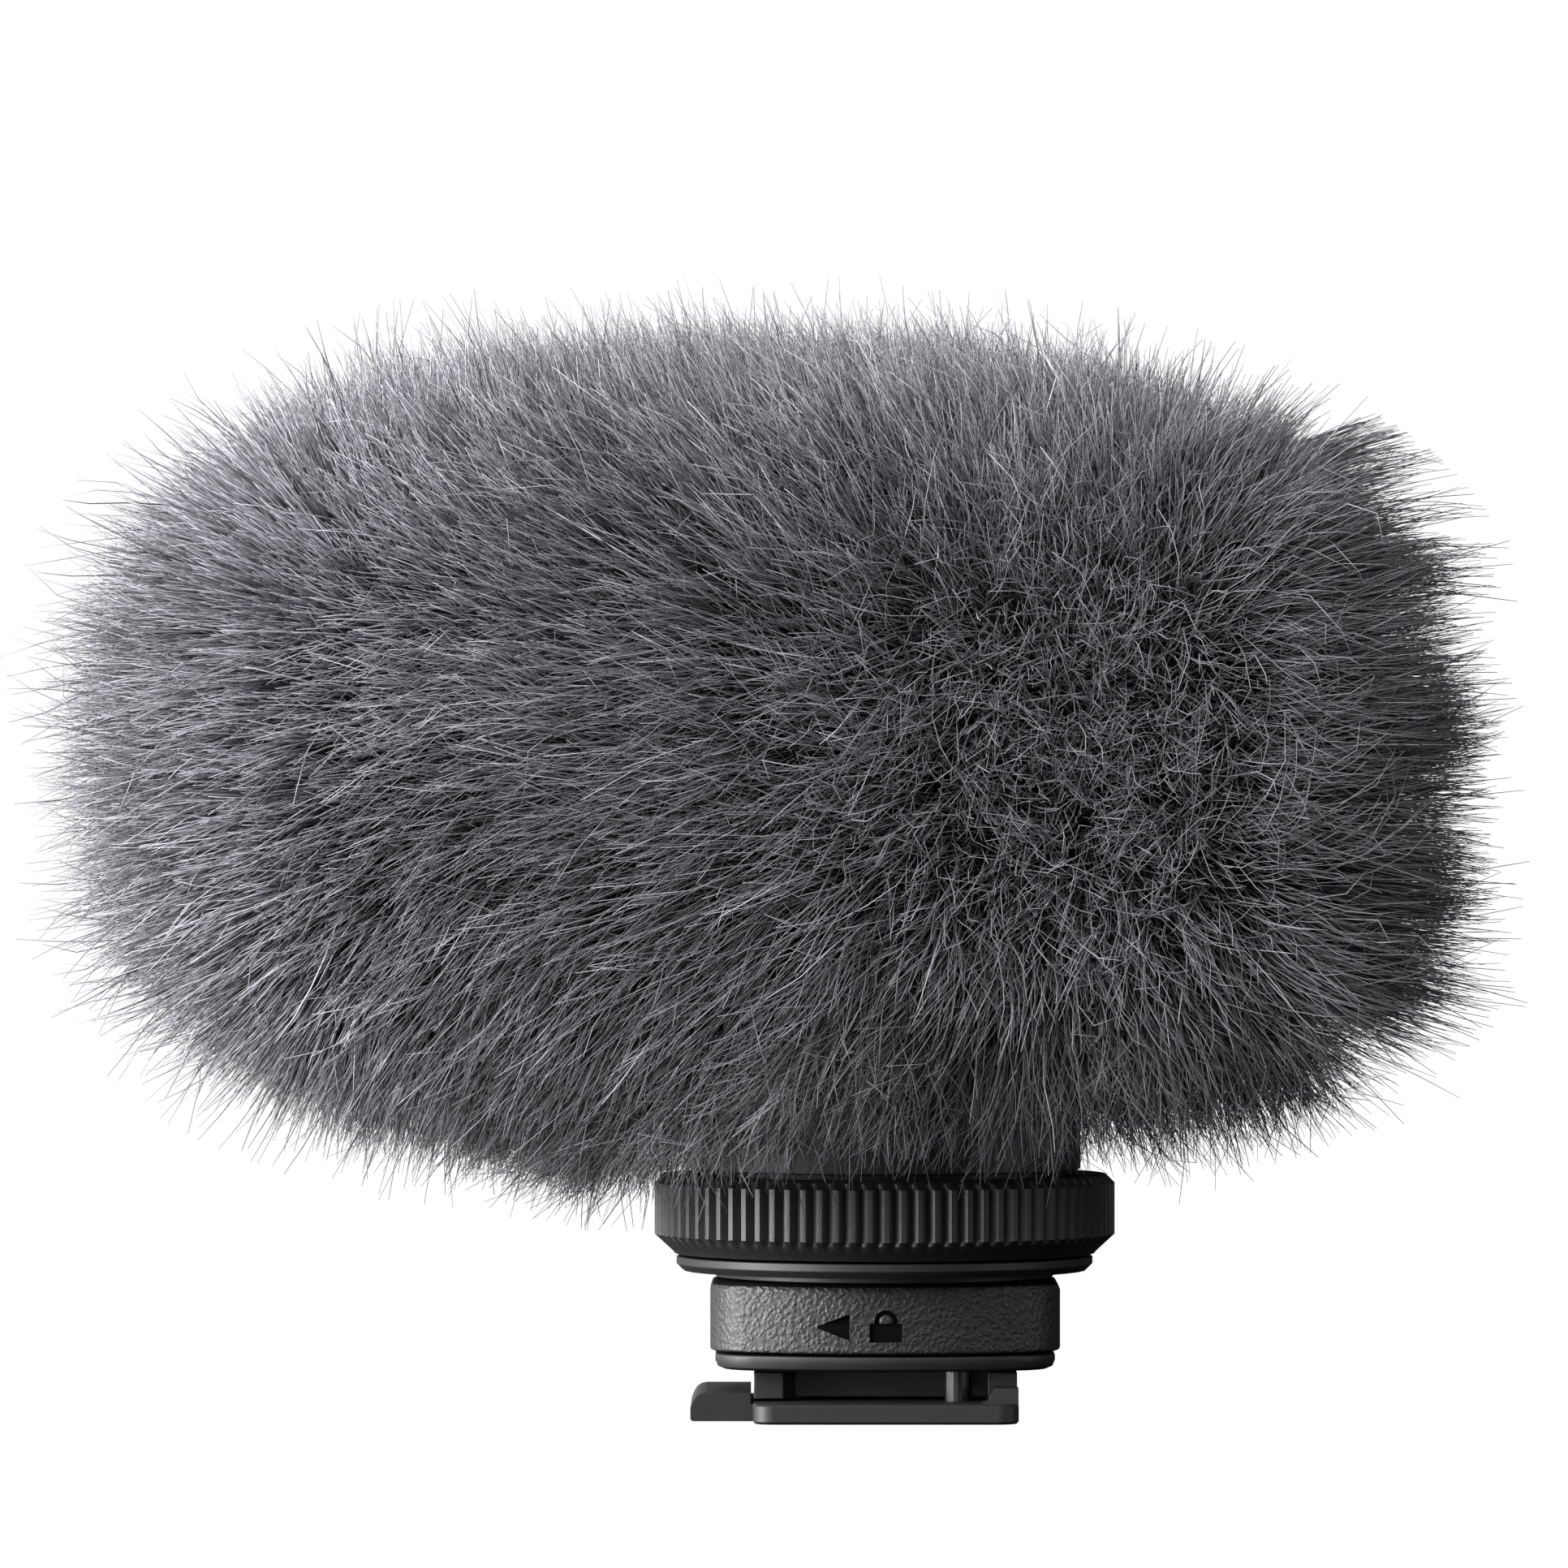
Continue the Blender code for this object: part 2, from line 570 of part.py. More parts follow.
def make_switches():
    """Slide switches: a knob through the panel and its body behind it."""
    body_low, body_high = SWITCH_BODY
    wide, tall, ease = SWITCH_HALF_W, SWITCH_HALF_H, 0.25
    for name, z in SWITCHES:
        pivot = (PANEL_X[0] - 0.1, 0.0, z)
        rings = []
        for x, w, h in ((SHAFT_X, wide, tall), (BODY_REAR + 0.8, wide, tall),
                        (BODY_REAR + 1.2, wide - ease, tall - ease)):
            rings.append([Vector((x, w * sy, z + h * sz))
                          for sy, sz in ((-1, -1), (1, -1), (1, 1), (-1, 1))])
        finish(name, skin(rings), "dark_steel", pivot)
        low, high = Vector(body_low), Vector(body_high)
        low.z += z
        high.z += z
        finish(f"{name}_body", box(low, high), "steel")


def make_electronics():
    finish("main_board", box(*MAIN_BOARD), "board")
    can = finish("shield_can", box(*SHIELD_CAN), "steel")
    boolean(can, cutter("cut_can", box(*CAN_INSIDE)))
    finish("rear_board", box(*REAR_BOARD), "board")
    finish("encoder", box(*ENCODER), "steel")


def make_capsules():
    low, high = CHASSIS[0][2], CHASSIS[1][2]
    chassis = finish("capsule_chassis", box(*CHASSIS), "black_plastic")
    places = grid(CAPSULE_X, (-CAPSULE_Y, CAPSULE_Y))
    floor, wide = low + POCKET_FLOOR, CAPSULE_R + POCKET_GAP
    pockets = bmesh.new()
    for x, y in places:
        turned([(wide, floor), (wide, high + 5.0)], x, y, 20, bm=pockets)
    boolean(chassis, cutter("cut_pockets", pockets))
    base = floor + POCKET_GAP
    top = base + CAPSULE_H
    profile = [(CAPSULE_R, base), (CAPSULE_R, top), (CAPSULE_R - 0.6, top + 0.1)]
    turned_set("capsule", profile, places, 20, "steel")


def make_isolators():
    places = grid(ISOLATOR_X, (-ISOLATOR_Y, ISOLATOR_Y))
    turned_set("isolator", ISOLATOR, places, SMALL, "rubber")


# ---- stem and lock -----------------------------------------------------------
def make_stem():
    floor_low, floor_high = STEM_FLOOR
    shoulder = RING_Z[1] + RUN
    profile = [(SPIGOT_R, floor_low), (SPIGOT_R, shoulder), (STEM_R, shoulder),
               (STEM_R, STEM_TOP), (STEM_BORE_R, STEM_TOP), (STEM_BORE_R, floor_high),
               (CABLE_BORE_R, floor_high), (CABLE_BORE_R, floor_low)]
    stem = finish("stem", turned(profile, bored=True), "black_plastic")
    saddle = skin([section_ring(x, RUN) for x in (-SADDLE_REACH, SADDLE_REACH)])
    boolean(stem, cutter("cut_saddle", saddle))
    places = [(STEM_SCREW_CIRCLE * math.cos(math.radians(degrees)),
               STEM_SCREW_CIRCLE * math.sin(math.radians(degrees)))
              for degrees in STEM_SCREW_DEGREES]
    holes = bmesh.new()
    for x, y in places:
        turned([(STEM_SCREW_HOLE_R, STEM_SCREW_LOW - 0.2), (STEM_SCREW_HOLE_R, floor_high + 1.8)],
               x, y, SMALL, bm=holes)
    screw_holes = cutter("cut_stem_screws", holes)
    boolean(stem, screw_holes)
    shaft, head = STEM_SCREW_R, STEM_SCREW_HEAD_R
    profile = [(shaft, STEM_SCREW_LOW), (shaft, floor_high + 0.1), (head, floor_high + 0.15),
               (head, floor_high + 0.8), (head - 0.2, floor_high + 0.9)]
    turned_set("stem_screw", profile, places, SMALL, "dark_steel")
    return screw_holes


def make_lock_ring():
    low, high = RING_Z
    inwards, upwards = RING_LOW_CHAMFER
    levels = [(RING_BORE_R, low, 0), (RING_R - inwards, low, 0),
              (RING_R, low + upwards, 1), (RING_R, high - RING_TOP_CHAMFER, 1),
              (RING_R - RING_TOP_CHAMFER, high, 0), (RING_BORE_R, high, 0)]
    rings = []
    for radius, z, ridged in levels:
        ring = circle(0.0, 0.0, z, radius, 2 * RING_RIDGES)
        if ridged:
            for i in range(0, len(ring), 2):
                keep = 1 - RING_GROOVE / radius
                ring[i] = Vector((ring[i].x * keep, ring[i].y * keep, z))
        rings.append(ring)
    finish("lock_ring", skin(rings, closed=True), "black_plastic")


def make_cam_ring():
    """Ring turned by the lock ring. Its underside ramps down by the pin's
    travel over the lock angle, starting above the pin's head."""
    start = math.degrees(math.atan2(PIN_Y, PIN_X))
    inner, outer = CAM_R
    rows = []
    for i in range(CAM_STEPS):
        degrees = 360.0 * i / CAM_STEPS
        past = (degrees - start) % 360.0
        if past < LOCK_DEG:
            drop = PIN_TRAVEL * past / LOCK_DEG
        else:
            rise = (past - LOCK_DEG - CAM_DWELL) / CAM_RETURN
            drop = PIN_TRAVEL * (1 - min(max(rise, 0.0), 1.0))
        c, s = math.cos(math.radians(degrees)), math.sin(math.radians(degrees))
        low = CAM_LOW + FIT - drop
        rows.append([Vector((radius * c, radius * s, z)) for radius, z in
                     ((inner, low), (outer, low), (outer, CAM_TOP), (inner, CAM_TOP))])
    finish("cam_ring", skin(rows, closed=True), "dark_steel")


def make_lock_base(screw_holes, pin_well):
    low, high = FLANGE_Z
    profile = [(CABLE_BORE_R, NECK_Z), (NECK_R, NECK_Z), (NECK_R, low),
               (FLANGE_R - FLANGE_CHAMFER, low), (FLANGE_R, low + FLANGE_CHAMFER),
               (FLANGE_R, high),
               (BOSS_R, high), (BOSS_R, BOSS_TOP), (CABLE_BORE_R, BOSS_TOP)]
    base = finish("lock_base", turned(profile, bored=True), "black_plastic")
    boolean(base, screw_holes)
    boolean(base, pin_well)


def make_lock_pin():
    low, high = PIN_HEAD_Z
    profile = [(PIN_R - 0.15, 0.05), (PIN_R, 0.2), (PIN_R, low), (PIN_HEAD_R, low),
               (PIN_HEAD_R, high)]
    finish("lock_pin", turned(profile, PIN_X, PIN_Y, 20), "dark_steel", (PIN_X, PIN_Y, low))


def make_pin_spring():
    """Return spring round the pin, between the collar's seat and the head."""
    wire, radius, turns, per_turn = 0.16, 1.28, 7, 10
    low, high = SPRING_SEAT + SPRING_END_GAP, PIN_HEAD_Z[0] - SPRING_END_GAP
    count = turns * per_turn
    rings = []
    for i in range(count + 1):
        angle = 2 * math.pi * i / per_turn
        z = low + (high - low) * i / count
        out = Vector((math.cos(angle), math.sin(angle), 0.0))
        centre = Vector((PIN_X, PIN_Y, z)) + out * radius
        rings.append([centre + out * wire * math.cos(k * math.pi / 2)
                      + Vector((0.0, 0.0, wire * math.sin(k * math.pi / 2)))
                      for k in range(4)])
    finish("pin_spring", skin(rings), "steel")


# ---- collar, plate and foot --------------------------------------------------
def side_prism(points, y0, y1, bm=None):
    """Extrude an XZ outline along Y."""
    return skin([[Vector((x, y, z)) for x, z in points] for y in (y0, y1)], bm=bm)


def ring_outline(cx, cz, radius, start, stop, steps):
    points = []
    for i in range(steps + 1):
        angle = math.radians(start + (stop - start) * i / steps)
        points.append((cx + radius * math.cos(angle), cz + radius * math.sin(angle)))
    return points


def collar_marks():
    """Engraved marks on the front: an arrow for the lock direction and a plain
    padlock. Each is cut back to its own depth."""
    arrow_floor, padlock_floor, outside = -8.76, -9.05, -12.0
    tip, tail, middle, half_tail = -4.15, -2.1, 5.62, 0.76
    arrow = side_prism(((tip, middle), (tail, middle + half_tail), (tail, middle - half_tail)),
                       outside, arrow_floor)
    half, low, high = 0.95, 4.75, 5.85
    body = side_prism(((-half, low), (half, low), (half, high), (-half, high)),
                      outside, padlock_floor)
    foot, centre, outer_r, inner_r = 5.7, 5.95, 0.68, 0.4
    outer = ring_outline(0.0, centre, outer_r, 0.0, 180.0, 8)
    inner = ring_outline(0.0, centre, inner_r, 180.0, 0.0, 8)
    outline = [(outer_r, foot)] + outer + [(-outer_r, foot), (-inner_r, foot)] + inner
    shackle = side_prism(outline + [(inner_r, foot)], outside, padlock_floor)
    return (cutter("cut_arrow", arrow), cutter("cut_padlock_body", body),
            cutter("cut_padlock_shackle", shackle))


def make_collar(pin_well, foot_holes):
    size = (COLLAR_HALF_L, COLLAR_HALF_W, COLLAR_BOW, COLLAR_FILLET)
    block = bowed_block(*COLLAR_Z, *COLLAR_ROUNDS, size)
    collar = finish("collar", block, "grained_plastic")
    for mark in collar_marks():
        boolean(collar, mark)
    for tool in (pin_well, foot_holes):
        boolean(collar, tool)


def make_lower_plate(foot_holes):
    size = (PLATE_HALF_L, PLATE_HALF_W, PLATE_BOW, PLATE_FILLET)
    plate = finish("lower_plate", bowed_block(*PLATE_Z, *PLATE_ROUNDS, size),
                   "black_plastic")
    boolean(plate, foot_holes)


def make_foot_neck(foot_holes):
    end, pillar, slant = FOOT_HALF_L - 0.05, FOOT_NECK_PILLAR_X, FOOT_NECK_SLANT
    wide, waist = FOOT_NECK_HALF_W, FOOT_NECK_WAIST
    back = [(end, wide), (pillar, wide), (pillar, waist), (-pillar + slant, waist),
            (-pillar, wide), (-end, wide)]
    outline = back + [(x, -y) for x, y in reversed(back)]
    neck = prism(outline, FOOT_T + FIT, PLATE_Z[0] - FIT)
    boolean(finish("foot_neck", neck, "black_plastic"), foot_holes)


def rounded_plan(x0, x1, half_w, radius, steps=4):
    outline = []
    for cx, cy, start in ((x1 - radius, half_w - radius, 0), (x0 + radius, half_w - radius, 90),
                          (x0 + radius, radius - half_w, 180), (x1 - radius, radius - half_w, 270)):
        for i in range(steps + 1):
            angle = math.radians(start + 90 * i / steps)
            outline.append((cx + radius * math.cos(angle), cy + radius * math.sin(angle)))
    return outline


def foot_heads():
    """Counterbores for the four foot screws, open on the underside."""
    heads = bmesh.new()
    radius, depth = FOOT_SCREW_WELL
    for x, y in FOOT_SCREWS:
        turned([(radius, -1.0), (radius, depth)], x, y, SMALL, bm=heads)
    return cutter("cut_foot_heads", heads)


def foot_stops():
    """The two raised stops at the rear corners, with their curved front faces."""
    stops = bmesh.new()
    rear, sunk = FOOT_HALF_L - 0.02, 0.9
    front = rear - STOP_LENGTH
    curve = [(front - 0.5, sunk), (front - 0.5, FOOT_T + 0.02), (front - 0.15, FOOT_T + 0.15),
             (front, FOOT_T + 0.5), (front + 0.25, STOP_TOP), (rear, STOP_TOP), (rear, sunk)]
    inner, outer = STOP_Y
    for y0, y1 in ((-outer, -inner), (inner, outer)):
        side_prism(curve, y0, y1, stops)
    return cutter("add_stops", stops)


def foot_tongue():
    """The long tongue ahead of the foot, with a rounded nose, rooted in it."""
    nose, top, radius = TONGUE_FRONT, TONGUE_T, TONGUE_NOSE_R
    root_z, edge = 1.0, FOOT_EDGE
    shape = [(TONGUE_ROOT_X, 0.0), (TONGUE_ROOT_X, root_z), (TONGUE_STEP_X, root_z),
             (TONGUE_STEP_X, top), (nose + 0.9, top)]
    shape += [(nose + 0.9 - radius * math.sin(a), top - radius + radius * math.cos(a))
              for a in (0.4, 0.8, 1.2)]
    shape += [(nose, top - 0.9), (nose, edge), (nose + edge, 0.0)]
    return cutter("add_tongue", side_prism(shape, -TONGUE_HALF_W, TONGUE_HALF_W))


def make_foot_plate(foot_holes):
    plan = rounded_plan(-FOOT_HALF_L, FOOT_HALF_L, FOOT_HALF_W, FOOT_CORNER)
    levels = ((FOOT_EDGE, 0.0), (0.0, 0.15), (0.0, FOOT_T - FOOT_EDGE), (0.1, FOOT_T))
    rings = []
    for inset, z in levels:
        rings.append([Vector((x - math.copysign(inset, x), y - math.copysign(inset, y), z))
                      for x, y in plan])
    plate = finish("foot_plate", skin(rings), "black_plastic")
    boolean(plate, foot_stops(), "UNION")
    boolean(plate, foot_tongue(), "UNION")
    boolean(plate, cutter("cut_contact_pocket", box(*CONTACT_POCKET)))
    boolean(plate, foot_heads())
    boolean(plate, foot_holes)


def make_foot_screws():
    profile = [(1.2, 0.12), (1.4, 0.25), (1.4, 0.8), (0.7, 0.85), (0.7, 6.2)]
    turned_set("foot_screw", profile, FOOT_SCREWS, SMALL, "dark_steel")


def make_contacts():
    block = finish("contact_block", box(*CONTACT_BLOCK), "black_plastic")
    grooves = bmesh.new()
    for i in range(CONTACTS):
        y = CONTACT_PITCH * (i - (CONTACTS - 1) / 2)
        box((-10.4, y - 0.4, -0.5), (-8.4, y + 0.4, 0.5), grooves)
        strip = box((-10.3, y - 0.3, 0.12), (-8.5, y + 0.3, 0.4))
        finish(f"contact_strip_{i + 1}", strip, "contact_gold")
    boolean(block, cutter("cut_grooves", grooves))


def make_ribbon_cable():
    """Flat cable from the main board down the hollow stem into the foot."""
    front = [(x - RIBBON_HALF_T, z) for x, z in RIBBON_ROUTE]
    rear = [(x + RIBBON_HALF_T, z) for x, z in reversed(RIBBON_ROUTE)]
    ribbon = side_prism(front + rear, -RIBBON_HALF_W, RIBBON_HALF_W)
    finish("ribbon_cable", ribbon, "film")


def foot_hole_cutter():
    """Screw shafts, the lock pin's guide and the cable bore, from the foot up."""
    holes = bmesh.new()
    for x, y in FOOT_SCREWS:
        turned([(FOOT_SCREW_HOLE_R, 0.6), (FOOT_SCREW_HOLE_R, 6.5)], x, y, SMALL, bm=holes)
    turned([(PIN_R + 0.1, -1.0), (PIN_R + 0.1, 6.0)], PIN_X, PIN_Y, 20, bm=holes)
    turned([(CABLE_BORE_R, FOOT_T + 0.05), (CABLE_BORE_R, 9.0)], sides=24, bm=holes)
    return cutter("cut_foot_holes", holes)


def make_mount():
    screw_holes = make_stem()
    well = turned([(PIN_WELL_R, SPRING_SEAT), (PIN_WELL_R, 13.0)], PIN_X, PIN_Y, 20)
    pin_well = cutter("cut_pin_well", well)
    foot_holes = foot_hole_cutter()
    make_lock_ring()
    make_cam_ring()
    make_lock_base(screw_holes, pin_well)
    make_lock_pin()
    make_pin_spring()
    make_collar(pin_well, foot_holes)
    make_lower_plate(foot_holes)
    make_foot_neck(foot_holes)
    make_foot_plate(foot_holes)
    make_foot_screws()
    make_contacts()
    make_ribbon_cable()


def main():
    clear_scene()
    make_fur_pile()
    make_fabric_layers()
    make_rear_hem()
    make_slot_binding()
    make_grille()
    make_mesh_screen()
    make_housing()
    make_housing_screws()
    make_rear_panel()
    make_level_dial()
    make_switches()
    make_electronics()
    make_capsules()
    make_isolators()
    make_mount()


main()
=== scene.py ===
"""Looks for the furry windscreen on its shoe-mount microphone.

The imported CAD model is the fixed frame. The fur is grown here as real mesh
strands from the backing fabric; the mount, ring and microphone keep their CAD
places and get fine edges and surfaces. Measures are in millimetres, and MM
turns them into the metres that Blender gets.
"""
import math

import bmesh
import bpy
import numpy as np
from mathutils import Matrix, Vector
from mathutils.kdtree import KDTree


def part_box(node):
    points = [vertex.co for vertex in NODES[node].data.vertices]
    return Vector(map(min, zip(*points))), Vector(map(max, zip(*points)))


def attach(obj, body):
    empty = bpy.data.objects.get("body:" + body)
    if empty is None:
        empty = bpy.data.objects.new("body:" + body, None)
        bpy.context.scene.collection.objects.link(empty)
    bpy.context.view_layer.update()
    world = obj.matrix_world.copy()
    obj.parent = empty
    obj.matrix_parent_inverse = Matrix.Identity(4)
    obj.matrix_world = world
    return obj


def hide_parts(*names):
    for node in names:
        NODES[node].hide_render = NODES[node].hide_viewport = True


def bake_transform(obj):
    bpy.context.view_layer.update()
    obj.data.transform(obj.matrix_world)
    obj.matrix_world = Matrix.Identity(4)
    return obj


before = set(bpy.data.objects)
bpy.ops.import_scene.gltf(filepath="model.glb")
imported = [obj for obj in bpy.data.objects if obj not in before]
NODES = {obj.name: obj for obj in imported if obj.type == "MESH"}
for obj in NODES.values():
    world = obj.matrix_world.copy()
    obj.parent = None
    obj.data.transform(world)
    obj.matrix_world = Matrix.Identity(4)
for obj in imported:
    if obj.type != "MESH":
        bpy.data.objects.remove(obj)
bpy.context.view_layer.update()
MM = 0.001
SEED = 20261116


def box_mm(node):
    low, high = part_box(node)
    return np.array(low) / MM, np.array(high) / MM


# ---- places read from the frame (mm) -----------------------------------------
PILE_LOW = box_mm("fur_pile")[0]
BACK_LOW, BACK_HIGH = box_mm("backing_fabric")
RING_LOW, RING_HIGH = box_mm("lock_ring")
GRILLE_LOW, GRILLE_HIGH = box_mm("grille")

AXIS_Z = (GRILLE_LOW[2] + GRILLE_HIGH[2]) / 2
BODY_HALF_W = (GRILLE_HIGH[1] - GRILLE_LOW[1]) / 2
BODY_HALF_H = (GRILLE_HIGH[2] - GRILLE_LOW[2]) / 2
BODY_REAR = box_mm("housing_top")[1][0]
FABRIC_GROW = BACK_HIGH[1] - BODY_HALF_W        # fabric face outside the body
FABRIC_FRONT, FABRIC_REAR = BACK_LOW[0], BACK_HIGH[0]
RIM_X = box_mm("rear_hem")[1][0]
STEM_R = box_mm("stem")[1][0]
RING_R = RING_HIGH[0]

# ---- shapes that a box doesn't give (mm) -------------------------------------
BODY_CORNER = 8.0                               # rounding of the microphone's section
DOME_LENGTH, DOME_POWER = 7.5, 2.4              # front rounding of the microphone
SLOT_R = 13.0                                   # half width of the stem slot
FABRIC_SLOT_R, ROOT_SLOT_R, EDGE_SLOT_R = SLOT_R + 0.7, SLOT_R + 0.6, SLOT_R + 0.9
SLOT_LOW, SLOT_TOP = 5.0, 31.5                  # height that the slot is cut from and to
SLOT_REACH = 60.0                               # the slot's cutter leaves the cover here
KNIT_THICKNESS = 0.7
LINER_FACES = (0.35, 2.35)                      # inner and outer face, outside the body


# ---- materials ---------------------------------------------------------------
BLACK = (0.008, 0.008, 0.0085)
KNIT_BLACK = (0.012, 0.012, 0.013)
PEBBLE_MM = 0.3                                 # grain of the collar


def principled(name, colour, roughness, **sockets):
    made = bpy.data.materials.new(name)
    made.use_nodes = True
    shader = made.node_tree.nodes["Principled BSDF"]
    shader.inputs["Base Color"].default_value = (*colour, 1.0)
    shader.inputs["Roughness"].default_value = roughness
    for key, value in sockets.items():
        shader.inputs[key.replace("_", " ")].default_value = value
    return made, made.node_tree, shader


def place(tree, scale):
    """Object coordinates scaled so that one noise unit is 1 / scale metres."""
    coords = tree.nodes.new("ShaderNodeTexCoord")
    mapping = tree.nodes.new("ShaderNodeMapping")
    mapping.inputs["Scale"].default_value = (scale, scale, scale)
    tree.links.new(coords.outputs["Object"], mapping.inputs["Vector"])
    return mapping.outputs["Vector"]


def noise(tree, vector, scale=1.0, detail=4.0, roughness=0.55):
    node = tree.nodes.new("ShaderNodeTexNoise")
    node.inputs["Scale"].default_value = scale
    node.inputs["Detail"].default_value = detail
    node.inputs["Roughness"].default_value = roughness
    tree.links.new(vector, node.inputs["Vector"])
    return node.outputs["Fac"]


def ramp(tree, value, stops):
    node = tree.nodes.new("ShaderNodeValToRGB")
    elements = node.color_ramp.elements
    while len(elements) < len(stops):
        elements.new(0.5)
    for element, (position, level) in zip(elements, stops):
        element.position = position
        element.color = (*level, 1.0) if isinstance(level, tuple) else (level,) * 3 + (1.0,)
    tree.links.new(value, node.inputs["Fac"])
    return node.outputs["Color"]


def combined(tree, operation, first, second):
    """Math node on an output and a number or another output."""
    node = tree.nodes.new("ShaderNodeMath")
    node.operation = operation
    tree.links.new(first, node.inputs[0])
    if isinstance(second, float):
        node.inputs[1].default_value = second
    else:
        tree.links.new(second, node.inputs[1])
    return node.outputs[0]


def bump(tree, shader, height, strength, distance_mm, after=None):
    node = tree.nodes.new("ShaderNodeBump")
    node.inputs["Strength"].default_value = strength
    node.inputs["Distance"].default_value = distance_mm * MM
    tree.links.new(height, node.inputs["Height"])
    if after:
        tree.links.new(after, node.inputs["Normal"])
    tree.links.new(node.outputs["Normal"], shader.inputs["Normal"])
    return node.outputs["Normal"]


def moulded_plastic(name, colour, rough, grain_mm, depth_mm, strength=0.5, gloss=0.5):
    """Black moulded plastic: fine spark-eroded grain and slightly worn gloss."""
    made, tree, shader = principled(name, colour, rough, Specular_IOR_Level=gloss)
    vector = place(tree, 1.0 / (grain_mm * MM))
    fine = noise(tree, vector, 1.0, 3.0, 0.6)
    soft = noise(tree, vector, 0.05, 3.0, 0.5)
    tree.links.new(ramp(tree, soft, ((0.3, rough - 0.02), (0.75, rough + 0.03))),
                   shader.inputs["Roughness"])
    dark = tuple(c * 0.8 for c in colour)
    light = tuple(c * 1.25 for c in colour)
    tree.links.new(ramp(tree, fine, ((0.35, dark), (0.7, light))),
                   shader.inputs["Base Color"])
    bump(tree, shader, fine, strength, depth_mm)
    return made


def leather_grain_plastic(name):
    """The collar's coarse moulded grain: rounded pebbles with fine creases."""
    made, tree, shader = principled(name, BLACK, 0.42, Specular_IOR_Level=0.55)
    vector = place(tree, 1.0 / (PEBBLE_MM * MM))
    warp = tree.nodes.new("ShaderNodeVectorMath")
    warp.operation = "MULTIPLY_ADD"
    wobble = tree.nodes.new("ShaderNodeTexNoise")
    wobble.inputs["Scale"].default_value = 0.9
    wobble.inputs["Detail"].default_value = 3.0
    tree.links.new(vector, wobble.inputs["Vector"])
    tree.links.new(wobble.outputs["Color"], warp.inputs[0])
    warp.inputs[1].default_value = (1.3, 1.3, 1.3)
    tree.links.new(vector, warp.inputs[2])
    cells = tree.nodes.new("ShaderNodeTexVoronoi")
    cells.feature = "SMOOTH_F1"
    cells.inputs["Scale"].default_value = 1.15
    cells.inputs["Smoothness"].default_value = 0.7
    tree.links.new(warp.outputs["Vector"], cells.inputs["Vector"])
    pebbles = ramp(tree, cells.outputs["Distance"], ((0.15, 1.0), (0.75, 0.0)))
    first = bump(tree, shader, pebbles, 0.7, 0.06)
    fine = noise(tree, vector, 4.0, 3.0, 0.6)
    bump(tree, shader, fine, 0.35, 0.025, after=first)
    tree.links.new(ramp(tree, cells.outputs["Distance"], ((0.2, 0.36), (0.8, 0.55))),
                   shader.inputs["Roughness"])
    # Painted shade and light: the fine creases are coloured darker and their crowns lighter, by
    # the same noise as their bump.
    painted_crease_shade, painted_crown_light = (0.006, 0.006, 0.0065), (0.012, 0.012, 0.0125)
    tree.links.new(ramp(tree, fine, ((0.3, painted_crease_shade), (0.75, painted_crown_light))),
                   shader.inputs["Base Color"])
    return made


def woven(name, colour, pitch_mm, rough=0.9, strength=0.8):
    """Knit or tape: crossed ribs at the thread's pitch, with broken colour."""
    made, tree, shader = principled(name, colour, rough, Sheen_Weight=0.25, Sheen_Roughness=0.5)
    vector = place(tree, 1.0 / (pitch_mm * MM))
    heights = []
    for direction in ("X", "Z"):
        wave = tree.nodes.new("ShaderNodeTexWave")
        wave.bands_direction = direction
        wave.inputs["Scale"].default_value = 0.31
        wave.inputs["Distortion"].default_value = 1.2
        wave.inputs["Detail"].default_value = 1.0
        tree.links.new(vector, wave.inputs["Vector"])
        heights.append(wave.outputs["Fac"])
    bump(tree, shader, combined(tree, "MAXIMUM", *heights), strength, pitch_mm * 0.3)
    broken = noise(tree, vector, 0.4, 4.0)
    dark = tuple(c * 0.6 for c in colour)
    light = tuple(c * 1.5 for c in colour)
    tree.links.new(ramp(tree, broken, ((0.3, dark), (0.75, light))), shader.inputs["Base Color"])
    return made


def brushed_metal(name, colour, rough, metallic=1.0):
    made, tree, shader = principled(name, colour, rough, Metallic=metallic)
    vector = place(tree, 1.0 / (0.12 * MM))
    streak = noise(tree, vector, 1.0, 5.0, 0.6)
    tree.links.new(ramp(tree, streak, ((0.3, rough - 0.08), (0.7, rough + 0.1))),
                   shader.inputs["Roughness"])
    dark = tuple(c * 0.85 for c in colour)
    tree.links.new(ramp(tree, streak, ((0.3, dark), (0.7, colour))), shader.inputs["Base Color"])
    bump(tree, shader, streak, 0.2, 0.01)
    return made


def circuit_board(name):
    made, tree, shader = principled(name, (0.01, 0.08, 0.04), 0.35, Coat_Weight=0.4)
    vector = place(tree, 1.0 / (1.2 * MM))
    brick = tree.nodes.new("ShaderNodeTexBrick")
    brick.inputs["Color1"].default_value = (0.006, 0.06, 0.03, 1.0)
    brick.inputs["Color2"].default_value = (0.01, 0.085, 0.04, 1.0)
    brick.inputs["Mortar"].default_value = (0.03, 0.16, 0.08, 1.0)
    brick.inputs["Mortar Size"].default_value = 0.06
    tree.links.new(vector, brick.inputs["Vector"])
    tree.links.new(brick.outputs["Color"], shader.inputs["Base Color"])
    return made


